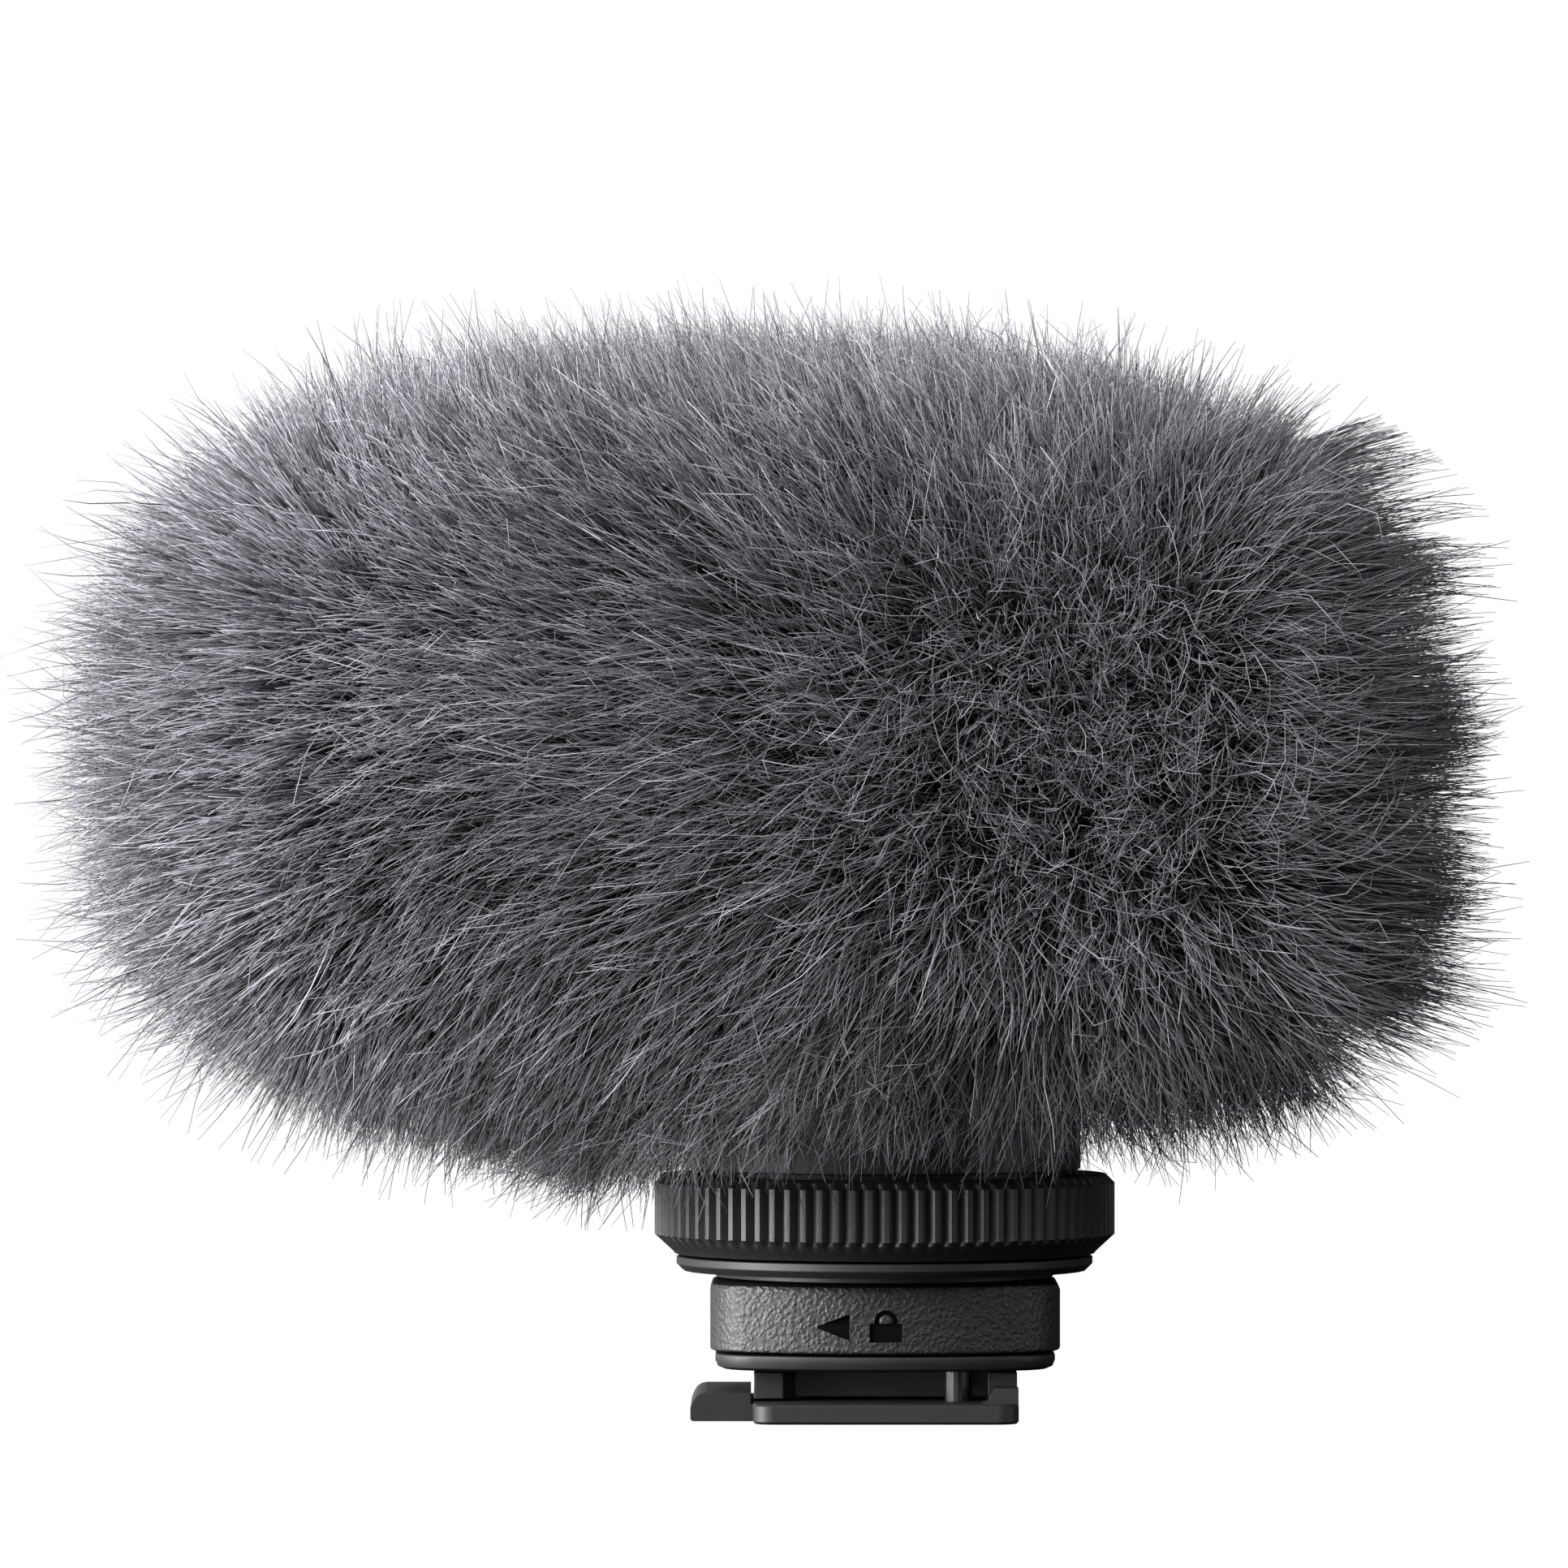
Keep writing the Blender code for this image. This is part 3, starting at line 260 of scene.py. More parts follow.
PLASTIC = moulded_plastic("black_plastic", BLACK, rough=0.5, grain_mm=0.11, depth_mm=0.02,
                          strength=0.55)
HOUSING_PLASTIC = moulded_plastic("housing_plastic", BLACK, rough=0.65, grain_mm=0.11,
                                  depth_mm=0.02, strength=0.55, gloss=0.16)
RING_PLASTIC = moulded_plastic("ring_plastic", (0.01, 0.01, 0.0105), rough=0.45, grain_mm=0.14,
                               depth_mm=0.03, strength=0.8)
GRILLE_PAINT = moulded_plastic("grille_paint", (0.014, 0.014, 0.0145), rough=0.6, grain_mm=0.08,
                               depth_mm=0.012, strength=0.5, gloss=0.2)
RUBBER = moulded_plastic("soft_rubber", (0.014, 0.014, 0.014), rough=0.8, grain_mm=0.2,
                         depth_mm=0.02, strength=0.4)
FILM = moulded_plastic("flex_film", (0.3, 0.14, 0.03), rough=0.4, grain_mm=0.6,
                       depth_mm=0.01, strength=0.2)
COLLAR_PLASTIC = leather_grain_plastic("grained_plastic")
# Painted shade: near black for the floors of the collar's engraved marks, standing for the shade
# in the recesses.
RECESS_SHADE = principled("painted_shade_engraved_floor", (0.002, 0.002, 0.002), 0.85, Specular_IOR_Level=0.05)[0]
KNIT = woven("backing_knit", KNIT_BLACK, pitch_mm=0.55)
SPACER = woven("spacer_knit", (0.022, 0.022, 0.024), pitch_mm=1.1, strength=1.0)
TAPE = woven("edge_tape", KNIT_BLACK, pitch_mm=0.35, rough=0.75)
STEEL = brushed_metal("plain_steel", (0.5, 0.5, 0.5), rough=0.35)
DARK_STEEL = brushed_metal("dark_steel", (0.07, 0.07, 0.072), rough=0.38)
MESH_STEEL = brushed_metal("screen_steel", (0.1, 0.1, 0.1), rough=0.5, metallic=0.8)
GOLD = brushed_metal("contact_gold", (0.75, 0.53, 0.22), rough=0.3)
BOARD = circuit_board("circuit_board")
# Fibre shades; the darkest is reached only through painted shade, at the back and by the stem.
FIBRE_SHADES = (0.042, 0.09, 0.14, 0.208, 0.38)             # dark to pale
FIBRE_ZONES = (("root", 0.54), ("middle", 0.87), ("tip", 1.09))
FIBRE_TINT = (1.0, 0.985, 1.08)                             # a little towards blue
PALEST = 0.5


def strand_materials():
    """Shades of fibre, each darker at the root than at the tip. A face's
    material index is shade * number of zones + zone."""
    made = []
    for i, shade in enumerate(FIBRE_SHADES):
        for zone, gain in FIBRE_ZONES:
            level = min(shade * gain, PALEST)
            colour = tuple(level * tint for tint in FIBRE_TINT)
            made.append(principled(f"fibre_{i}_{zone}", colour, 0.55, Specular_IOR_Level=0.3)[0])
    return made


# ---- mesh helpers ------------------------------------------------------------
def linked(name, data):
    """A new object in the scene."""
    obj = bpy.data.objects.new(name, data)
    bpy.context.scene.collection.objects.link(obj)
    return obj


def new_piece(name, mesh, body, node):
    """A piece of the visual model that rides on a body in place of a CAD node."""
    obj = linked(name, mesh)
    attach(obj, body)
    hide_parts(node)
    return obj


def smooth(mesh, degrees=35.0):
    mesh.shade_smooth()
    mesh.set_sharp_from_angle(angle=math.radians(degrees))


def mesh_from_rings(name, rings, closed=False):
    """Quads between rings of points in mm. closed joins the last ring to the
    first; otherwise the ends are capped."""
    bm = bmesh.new()
    rows = [[bm.verts.new(Vector(p) * MM) for p in ring] for ring in rings]
    pairs = list(zip(rows, rows[1:]))
    if closed:
        pairs.append((rows[-1], rows[0]))
    for low, high in pairs:
        for i in range(len(low)):
            j = (i + 1) % len(low)
            bm.faces.new((low[i], low[j], high[j], high[i]))
    if not closed:
        bm.faces.new(rows[0][::-1])
        bm.faces.new(rows[-1])
    bmesh.ops.recalc_face_normals(bm, faces=bm.faces)
    mesh = bpy.data.meshes.new(name)
    bm.to_mesh(mesh)
    bm.free()
    return mesh


RECESS_DEPTHS = (0.05, 0.6)                     # engraved floors lie this far back, mm
FACING_FRONT = -0.9995                          # normal's Y on a flat face at the front


def paint_recess(bm, index):
    """Give the floors of the engraved marks on the -Y face their own darker material,
    painted shade for the recesses: flat faces that lie behind the front of the node, near its
    middle."""
    front = min(v.co.y for v in bm.verts)
    reach = max(v.co.x for v in bm.verts) * 0.5
    near, far = (front + depth * MM for depth in RECESS_DEPTHS)
    for face in bm.faces:
        centre = face.calc_center_median()
        flat = face.normal.y < FACING_FRONT and abs(centre.x) < reach
        if flat and near < centre.y < far:
            face.material_index = index


WELD_M = 1e-6
COPLANAR = math.radians(1.0)


def refined(node, body, material, bevel_mm, segments=2, angle=32.0,
            recess_shade=None):
    """A copy of a CAD node's shape with clean flat faces and edges rounded where
    they turn by more than `angle` degrees."""
    bm = bmesh.new()
    bm.from_mesh(NODES[node].data)
    bmesh.ops.remove_doubles(bm, verts=bm.verts, dist=WELD_M)
    bmesh.ops.dissolve_limit(bm, angle_limit=COPLANAR, verts=bm.verts,
                             edges=bm.edges, delimit={"NORMAL"})
    bmesh.ops.recalc_face_normals(bm, faces=bm.faces)
    # The floors of the engraved marks get the painted-shade material.
    if recess_shade:
        paint_recess(bm, 1)
    mesh = bpy.data.meshes.new(node + "_fine")
    bm.to_mesh(mesh)
    bm.free()
    mesh.materials.append(material)
    if recess_shade:
        mesh.materials.append(recess_shade)
    smooth(mesh)
    obj = new_piece(node + "_fine", mesh, body, node)
    bevel = obj.modifiers.new("edges", "BEVEL")
    bevel.width = bevel_mm * MM
    bevel.segments = segments
    bevel.limit_method = "ANGLE"
    bevel.angle_limit = math.radians(angle)
    bevel.use_clamp_overlap = True
    weighted = obj.modifiers.new("flat_faces", "WEIGHTED_NORMAL")
    weighted.keep_sharp = True


def repaint(material, *nodes):
    """Give CAD nodes that stay as they are their material."""
    for node in nodes:
        mesh = NODES[node].data
        mesh.materials.clear()
        mesh.materials.append(material)


# ---- body section and cover surface --------------------------------------------
FLAT_HALF = np.array([BODY_HALF_W, BODY_HALF_H]) - BODY_CORNER     # of the section's sides
BACKWARD = np.array([1.0, 0.0, 0.0])
CORNER_STEPS = 16                               # points round a corner of the section
RIM_STEPS = 400                                 # places round the rear rim
COVER_AROUND, COVER_STRAIGHT, COVER_ROUNDED = 120, 46, 18
ROOT_AROUND, ROOT_STRAIGHT, ROOT_ROUNDED = 160, 60, 26
POLE = 0.985                                    # the dome stops short of its pole
SLOT_STEPS = 48


def section(grow, steps=CORNER_STEPS):
    """Rounded-rectangle section of the body grown by `grow`: (y, z) about the axis."""
    half_w, half_h = BODY_HALF_W + grow, BODY_HALF_H + grow
    radius = BODY_CORNER + grow
    arc = np.arange(steps + 1) / steps
    points = []
    for quarter, (sy, sz) in enumerate(((1, 1), (-1, 1), (-1, -1), (1, -1))):
        angle = (quarter + arc) * math.pi / 2
        points.append(np.stack([sy * (half_w - radius) + radius * np.cos(angle),
                                sz * (half_h - radius) + radius * np.sin(angle)], axis=1))
    return np.concatenate(points)


def resampled(points, count):
    """Points at equal spacing round a closed outline."""
    loop = np.vstack([points, points[:1]])
    steps = np.linalg.norm(np.diff(loop, axis=0), axis=1)
    along = np.concatenate([[0.0], np.cumsum(steps)])
    wanted = np.linspace(0.0, along[-1], count, endpoint=False)
    return np.stack([np.interp(wanted, along, loop[:, k]) for k in (0, 1)], axis=1)


def cover_rows(grow, front, rear, dome, around, straight, rounded):
    """Grid of points (rows along X, columns round the section) of a cover layer."""
    outline = resampled(section(grow), around)
    rows = []
    for x in np.linspace(rear, front + dome, straight):
        rows.append(np.column_stack([np.full(around, x), outline]))
    for i in range(1, rounded + 1):
        t = math.sin(i / rounded * math.pi / 2 * POLE)
        shrink = (1 - t ** DOME_POWER) ** (1 / DOME_POWER)
        rows.append(np.column_stack([np.full(around, front + dome * (1 - t)),
                                     outline * shrink]))
    grid = np.array(rows)
    grid[:, :, 2] += AXIS_Z
    return grid


def slot_tool():
    """Cutter for the stem slot in the fabric layers."""
    half = FABRIC_SLOT_R
    outline = [(SLOT_REACH, -half), (SLOT_REACH, half)]
    for i in range(SLOT_STEPS + 1):
        angle = math.pi / 2 + math.pi * i / SLOT_STEPS
        outline.append((half * math.cos(angle), half * math.sin(angle)))
    return linked("slot_tool", mesh_from_rings(
        "slot_tool", [[(x, y, z) for x, y in outline] for z in (SLOT_LOW, SLOT_TOP)]))


def cover_layer(name, inner, outer, tool, material, slot_name, node):
    """Closed thin shell between two growths of the body, with the stem slot."""
    front = FABRIC_FRONT + (FABRIC_GROW - outer)
    dome = DOME_LENGTH + outer
    size = COVER_AROUND, COVER_STRAIGHT, COVER_ROUNDED
    outside = cover_rows(outer, front, FABRIC_REAR, dome, *size)
    inside = cover_rows(inner, front + (outer - inner), FABRIC_REAR, dome - (outer - inner),
                        *size)
    mesh = mesh_from_rings(name, list(inside[::-1]) + list(outside))
    mesh.materials.append(material)
    smooth(mesh, 40)
    obj = new_piece(name, mesh, "windscreen", node)
    modifier = obj.modifiers.new("slot", "BOOLEAN")
    modifier.operation = "DIFFERENCE"
    modifier.object = tool
    apply_modifiers(obj)
    return obj


def apply_modifiers(obj):
    """Replace the mesh by what its modifiers make of it."""
    bpy.context.view_layer.update()
    graph = bpy.context.evaluated_depsgraph_get()
    baked = bpy.data.meshes.new_from_object(obj.evaluated_get(graph))
    obj.modifiers.clear()
    obj.data = baked


# ---- fur: how it grows (mm and degrees) ----------------------------------------
# Number of strands, length, and how far each strays from the combed direction.
COAT_COUNT, COAT_LENGTH, COAT_STRAY = 84000, 10.0, 0.17
EDGE_COUNT, EDGE_LENGTH, EDGE_STRAY = 11000, 15.0, 0.13
SLOT_EDGE_COUNT, SLOT_EDGE_LENGTH, SLOT_EDGE_STRAY = 8000, 13.0, 0.24
UNDER_COUNT, UNDER_LENGTH, UNDER_STRAY = 36000, 6.2, 0.3
UNDER_LEAN = 0.8                                # share of the coat's lean
SEGMENTS = 5
SMALL_WAVE = 5.0                                # wavelength of the pile's fine disorder
ROOT_DEPTH = 0.25                               # strands start this far in the fabric
WIDTHS = (0.085, 0.13)
TAPER = 0.72                                    # share of the width lost at the tip
FUR_PARTS = 24

WHORL_X, WHORL_Z = 14.8, 40.2
WHORL_REACH, CALM_REACH = 12.0, 15.0            # of its tangle and of its short pile
LEAN_UPRIGHT, LEAN_COMBED, LEAN_SPREAD = 22, 48, 9
LEAN_REAR = 62                                  # more lean towards the rear rim
EDGE_LEAN, SLOT_EDGE_LEAN = (57, 14), (22, 10)  # mean and spread
LOCK_SIZE, LOCK_PULL = 14, 0.42                 # strands in a lock, and how close it draws
COAT_CURL, UNDER_CURL = 0.5, 0.6
COAT_TRIM, UNDER_TRIM = 0.99, 0.93              # share of the outline they are cut to

# ---- fur: the outline that it is clipped to --------------------------------------
TRIM_HALF = np.array([41.6, 24.4, 24.4])
TRIM_CENTRE = np.array([PILE_LOW[0] + TRIM_HALF[0], 0.0, AXIS_Z - 0.1])
TRIM_POWER, TRIM_SECTION_POWER = 2.7, 2.4
TRIM_REAR_LENGTH, TRIM_REAR_POWER = 38.4, 2.6   # shorter behind
TRIM_PLAN_LENGTH, TRIM_PLAN_POWER = 44.0, 3.0   # its rounding seen from above
TRIM_REAR_DROP = 0.07                           # the outline sinks towards the rear
TRIM_REAR_START, TRIM_SPREAD, TRIM_MOST = 14.0, 0.04, 1.15
LONG_ONES, LONG_HANGING = (0.11, 0.05), (0.18, 0.08)    # share left long, by how much
SHORTEST = 0.14                                 # share of a strand that is always kept

# ---- fur: what it keeps clear of -------------------------------------------------
MOUNT_CLEARANCE, RING_CLEARANCE = 0.12, 0.15    # round the mount, and above the ring
BODY_CLEARANCE, BODY_MARGIN = 0.4, 0.35         # behind the body, and round it
BEFORE_RIM = 0.5
STEM_TOP = 29.0                                 # above it the stem is inside the cover

# ---- fur: its shades -------------------------------------------------------------
COAT_SHADES, COAT_SHARES = (1, 2, 3, 4), (0.31, 0.43, 0.21, 0.05)
UNDER_SHADES, UNDER_SHARES = (1, 2), (0.33, 0.67)
# The whorl's shades: even, and lighter than the coat's, in part painted light over the shade
# between its strands.
WHORL_SHADES, WHORL_SHARES, WHORL_EVEN = (2, 3), (0.45, 0.55), 0.85
WHORL_FINER = 0.2


def unit(vectors, tiny=0.0):
    return vectors / (np.linalg.norm(vectors, axis=-1, keepdims=True) + tiny)


def rise(value, start, over, least=0, most=1):
    """Straight rise from 0 at `start` to 1 at `start + over`, kept within limits."""
    return np.clip((value - start) / over, least, most)


def surface_points(count, rng):
    """Random roots, evenly spread over the fabric's outer face, with normals."""
    grid = cover_rows(FABRIC_GROW, FABRIC_FRONT, RIM_X, DOME_LENGTH + FABRIC_GROW,
                      ROOT_AROUND, ROOT_STRAIGHT, ROOT_ROUNDED)
    a, b = grid[:-1], np.roll(grid, -1, axis=1)[:-1]
    c, d = np.roll(grid, -1, axis=1)[1:], grid[1:]
    quads = np.stack([a, b, c, d], axis=2).reshape(-1, 4, 3)
    cross = np.cross(quads[:, 2] - quads[:, 0], quads[:, 3] - quads[:, 1])
    area = np.linalg.norm(cross, axis=1) / 2
    # Denser at the rear edge, where the pile is folded over the hem.
    fold, extra = 3.0, 1.6
    folded = rise(quads[:, :, 0].mean(axis=1), RIM_X - fold, fold)
    weight = area * (1.0 + extra * folded)
    pick = rng.choice(len(quads), count, p=weight / weight.sum())
    u, v = rng.random((2, count, 1))
    q = quads[pick]
    roots = (q[:, 0] * (1 - u) + q[:, 1] * u) * (1 - v) + (q[:, 3] * (1 - u) + q[:, 2] * u) * v
    return roots, fabric_normals(roots)


def fabric_normals(roots):
    """Outward normals of the fabric's outer face, rounded over the front dome."""
    dome = DOME_LENGTH + FABRIC_GROW
    t = np.clip((FABRIC_FRONT + dome - roots[:, 0]) / dome, 0.0, 0.995)
    shrink = (1 - t ** DOME_POWER) ** (1 / DOME_POWER)
    full = (roots[:, 1:] - np.array([0.0, AXIS_Z])) / shrink[:, None]
    out = unit(full - np.clip(full, -FLAT_HALF, FLAT_HALF), 1e-9)
    mean_half = (BODY_HALF_W + BODY_HALF_H) / 2 + FABRIC_GROW
    normals = np.empty_like(roots)
    normals[:, 0] = -t ** (DOME_POWER - 1) / dome
    normals[:, 1:] = out * (shrink ** (DOME_POWER - 1) / mean_half)[:, None]
    return unit(normals)


def outside_slot(roots):
    """Roots that aren't in the slot for the stem."""
    low = roots[:, 2] < SLOT_TOP
    across = np.where(roots[:, 0] > 0, np.abs(roots[:, 1]), np.hypot(roots[:, 0], roots[:, 1]))
    return ~(low & (across < ROOT_SLOT_R))


def waves(points, rng, wavelength, count=7):
    """Smooth noise in three channels, about -1 to 1, as a sum of plane waves."""
    total = np.zeros((len(points), 3))
    for _ in range(count):
        direction = unit(rng.normal(size=3))
        wave = wavelength * rng.uniform(0.7, 1.5)
        phase = rng.uniform(0, 2 * math.pi, 3)
        base = points @ direction * (2 * math.pi / wave)
        total += np.sin(base[:, None] + phase)
    return total / math.sqrt(count)


def flow_direction(roots, normals, rng):
    """Combed direction along the surface: out from a whorl low on the rear part
    of each side, swept forwards, and down below it. Also the way to the whorl."""
    away = np.zeros_like(roots)
    away[:, 0] = roots[:, 0] - WHORL_X
    away[:, 2] = roots[:, 2] - WHORL_Z
    distance = np.hypot(away[:, 0], away[:, 2])
    x, z = roots[:, 0], roots[:, 2]
    away[:, 2] -= 9.0 * (rise(z, WHORL_Z, -18.0) * rise(x, 12.0, -20.0))    # below it
    away[:, 2] += 5.0 * (rise(z, 46.0, 10.0) * rise(x, -25.0, 25.0))        # above it
    away[:, 2] -= 9.0 * rise(x, -10.0, -22.0)                               # in front
    away += waves(roots, rng, 16.0) * 3.6 + waves(roots, rng, 6.0) * 1.4
    # Each fibre strays a little from its neighbours, and wholly at the whorl.
    stray = 0.28 + 1.5 * np.exp(-(distance / WHORL_REACH) ** 2)
    away = unit(away, 1e-6) + rng.normal(0, 1, roots.shape) * stray[:, None]
    return along_surface(away, normals), distance


def along_surface(vectors, normals):
    return unit(vectors - normals * (vectors * normals).sum(axis=1, keepdims=True), 1e-6)


def strand_lines(roots, normals, flow, lean, length, wild, hook=0.0):
    """Centre lines that leave the fabric upright and bend over into the flow.
    `wild` bends the whole fibre and `hook` its tip."""
    points = np.empty((len(roots), SEGMENTS + 1, 3))
    points[:, 0] = roots - normals * ROOT_DEPTH
    for k in range(SEGMENTS):
        u = (k + 0.7) / SEGMENTS
        angle = lean * u ** 0.55
        heading = normals * np.cos(angle)[:, None] + flow * np.sin(angle)[:, None]
        heading = unit(heading + wild * (0.35 + 0.9 * u) + hook * u ** 4)
        points[:, k + 1] = points[:, k] + heading * (length / SEGMENTS)[:, None]
    return points


def grow_strands(count, rng, length_mm, spread, lean_gain=1.0):
    """Centre lines of `count` strands, array (strand, point, 3) in mm, and how
    close each is to the middle of the whorl, 0 to 1."""
    roots, normals = surface_points(count, rng)
    keep = outside_slot(roots)
    roots, normals = roots[keep], normals[keep]
    count = len(roots)
    flow, distance = flow_direction(roots, normals, rng)
    facing = np.abs(normals[:, 1])
    combed = rise(distance, 4.0, 15.0)
    lean = math.radians(LEAN_UPRIGHT) + math.radians(LEAN_COMBED) * combed * facing ** 1.3
    # The pile stands more upright on the rounded front.
    lean *= lean_gain * (1 - 0.45 * np.clip(-1.4 * normals[:, 0], 0, 1))
    rear_start = 13.0
    rear = rise(roots[:, 0], rear_start, RIM_X - rear_start)
    flow = flow * (1 - rear[:, None]) + BACKWARD * rear[:, None]
    lean = np.maximum(lean, np.radians(20 + LEAN_REAR * rear))
    lean = lean + rng.normal(0, math.radians(LEAN_SPREAD), count)
    length = length_mm * rng.uniform(0.85, 1.15, count) * (1 + 0.4 * (lean / math.radians(72)))
    length *= 1 + 0.25 * rear
    # Short, tangled fibres about the whorl.
    calm = np.exp(-(distance / CALM_REACH) ** 2) * facing
    length *= 1 - 0.4 * calm
    lean *= 1 - 0.35 * calm
    wild = rng.normal(0, spread, (count, 3)) * (1 + 0.5 * calm[:, None])
    wild += waves(roots, rng, SMALL_WAVE) * 0.14
    hooked = np.where(rng.random(count) < 0.22 + 0.5 * calm, 0.6 + 0.9 * calm, 0.12)
    hook = rng.normal(0, 1.0, (count, 3)) * hooked[:, None]
    return strand_lines(roots, normals, flow, lean, length, wild, hook), calm


def grow_edge(count, rng, length_mm, spread):
    """Fibres rooted along the rear rim, swept straight back over the hem."""
    outline = resampled(section(FABRIC_GROW), RIM_STEPS)
    pick = rng.integers(0, len(outline), count)
    ring = outline[pick]
    out = unit(ring - np.clip(ring, -FLAT_HALF, FLAT_HALF))
    inward = rng.uniform(0.0, 1.6, count)
    roots = np.column_stack([RIM_X - rng.uniform(0.1, 0.9, count),
                             ring - out * inward[:, None]])
    roots[:, 2] += AXIS_Z
    normals = unit(np.column_stack([0.6 + 0.9 * np.abs(out[:, 1]), out]))
    keep = outside_slot(roots)
    roots, normals = roots[keep], normals[keep]
    count = len(roots)
    flow = np.tile(BACKWARD, (count, 1))
    lean = np.radians(rng.normal(*EDGE_LEAN, count))
    length = length_mm * rng.uniform(0.8, 1.15, count)
    wild = rng.normal(0, spread, (count, 3)) + waves(roots, rng, SMALL_WAVE) * 0.12
    return strand_lines(roots, normals, flow, lean, length, wild)


def grow_slot_edge(count, rng, length_mm, spread):
    """Fibres rooted along the stem slot, hanging down round the stem."""
    half = EDGE_SLOT_R
    round_part = math.pi * half
    straight = RIM_X
    along = rng.uniform(-(straight + round_part / 2), straight + round_part / 2, count)
    turn = np.clip(along, -round_part / 2, round_part / 2) / half
    back = np.maximum(np.abs(along) - round_part / 2, 0.0)
    depth = rng.uniform(0.0, 2.2, count)
    out = np.stack([-np.cos(turn), np.sin(turn)], axis=1)
    x = (half + depth) * out[:, 0] + back
    y = (half + depth) * out[:, 1]
    # The fabric's height there: the underside of the grown section.
    radius = BODY_CORNER + FABRIC_GROW
    flat_y, flat_z = FLAT_HALF
    over = np.clip(np.abs(y) - flat_y, 0.0, radius - 0.3)
    z = AXIS_Z - flat_z - np.sqrt(radius ** 2 - over ** 2)
    roots = np.column_stack([x, y, z])
    normals = np.column_stack([0.25 * out, np.full(count, -1.0)])
    normals[:, 1] += 0.45 * np.sign(y) * over / radius
    normals = unit(normals)
    flow = np.column_stack([-0.35 + 0.9 * np.clip(x / RIM_X, 0, 1), 0.1 * out[:, 1],
                            np.full(count, -0.3)])
    flow = along_surface(flow, normals)
    lean = np.radians(rng.normal(*SLOT_EDGE_LEAN, count))
    length = length_mm * rng.uniform(0.75, 1.12, count)
    wild = rng.normal(0, spread, (count, 3)) + waves(roots, rng, SMALL_WAVE) * 0.16
    hook = rng.normal(0, 0.5, (count, 3))
    return strand_lines(roots, normals, flow, lean, length, wild, hook)


def rounded_level(a, b, power):
    """1 on a superellipse of half axes 1, and less inside it."""
    return (a ** power + b ** power) ** (1 / power)


def outline_level(points, hanging):
    """How far out each point is, 1 on the outline that the pile is cut to. Behind
    the stem, and for the fibres hanging at the slot, the outline only rounds off
    in side view and plan, because those fibres run on past the fabric."""
    offset = points - TRIM_CENTRE
    offset[..., 2] += TRIM_REAR_DROP * np.maximum(points[..., 0], 0.0)
    along = np.abs(offset[..., 0])
    length, width, height = np.moveaxis(np.abs(offset) / TRIM_HALF, -1, 0)
    side = rounded_level(along / TRIM_REAR_LENGTH, height, TRIM_REAR_POWER)
    plan = rounded_level(along / TRIM_PLAN_LENGTH, width, TRIM_PLAN_POWER)
    behind = np.maximum(side, plan)
    if hanging:
        return np.where(points[..., 0] > 0.0, behind, np.maximum(length, height))
    across = rounded_level(width, height, TRIM_SECTION_POWER)
    whole = rounded_level(across, length, TRIM_POWER)
    rear = rise(points[..., 0], 0.0, TRIM_REAR_START)
    return whole * (1 - rear) + np.maximum(behind, across) * rear


def trimmed(points, rng, mean_limit, hanging=False):
    """Cut each strand where it leaves the outline, with some left long."""
    count, stations, _ = points.shape
    level = outline_level(points, hanging)
    limit = rng.normal(mean_limit, TRIM_SPREAD, count)
    share, excess = LONG_HANGING if hanging else LONG_ONES
    long_ones = rng.random(count) < share
    limit[long_ones] += rng.exponential(excess, long_ones.sum())
    limit = np.minimum(limit, TRIM_MOST)[:, None]
    steps = stations - 1
    outside = level > limit
    first = np.maximum(np.argmax(outside, axis=1), 1)
    rows = np.arange(count)
    before, after = level[rows, first - 1], level[rows, first]
    part = (limit[:, 0] - before) / np.maximum(after - before, 1e-6)
    reach = np.where(outside.any(axis=1), (first - 1 + np.clip(part, 0, 1)) / steps, 1.0)
    reach = np.maximum(reach, SHORTEST)
    wanted = reach[:, None] * np.linspace(0, 1, stations) * steps
    index = np.minimum(wanted.astype(int), steps - 1)
    share = (wanted - index)[:, :, None]
    low = np.take_along_axis(points, index[:, :, None], axis=1)
    high = np.take_along_axis(points, index[:, :, None] + 1, axis=1)
    return low * (1 - share) + high * share


def gathered(points):
    """Draw the strands that run on behind the cover in towards its axis."""
    back = rise(points[..., 0], 16.0, 18.0, most=1.15)
    points[..., 1] *= 1 - 0.36 * back ** 2
    return points


def clump(points, rng, every, strength):
    """Draw the tips of neighbouring strands together into locks, each round one
    strand out of `every`."""
    count = len(points)
    leaders = rng.choice(count, count // every, replace=False)
    tree = KDTree(len(leaders))
    for i, leader in enumerate(leaders):
        tree.insert(points[leader, 0], i)
    tree.balance()
    mine = np.array([leaders[tree.find(p)[1]] for p in points[:, 0]])
    pull = rng.uniform(0.1, 1.0, count) ** 0.8 * strength
    u = np.linspace(0, 1, points.shape[1]) ** 1.4
    offset = points[mine] - points
    return points + offset * (pull[:, None] * u)[:, :, None]


def curl(points, rng, size_mm):
    """Each fibre's own bow and crimp, growing to the tip."""
    count = len(points)
    along = unit(points[:, -1] - points[:, 0])
    side = unit(np.cross(along, rng.normal(size=(count, 3))))
    other = np.cross(along, side)
    size = size_mm * rng.gamma(1.6, 0.6, count)
    turn = rng.uniform(0.3, 1.15, count) * 2 * math.pi
    phase = rng.uniform(0, 2 * math.pi, count)
    u = np.linspace(0, 1, points.shape[1])
    angle = phase[:, None] + turn[:, None] * u
    grow = (size[:, None] * u ** 1.6)[:, :, None]
    moved = points + grow * (np.cos(angle)[:, :, None] * side[:, None]
                             + np.sin(angle)[:, :, None] * other[:, None])
    moved += (points[:, :1] - moved[:, :1])
    return moved


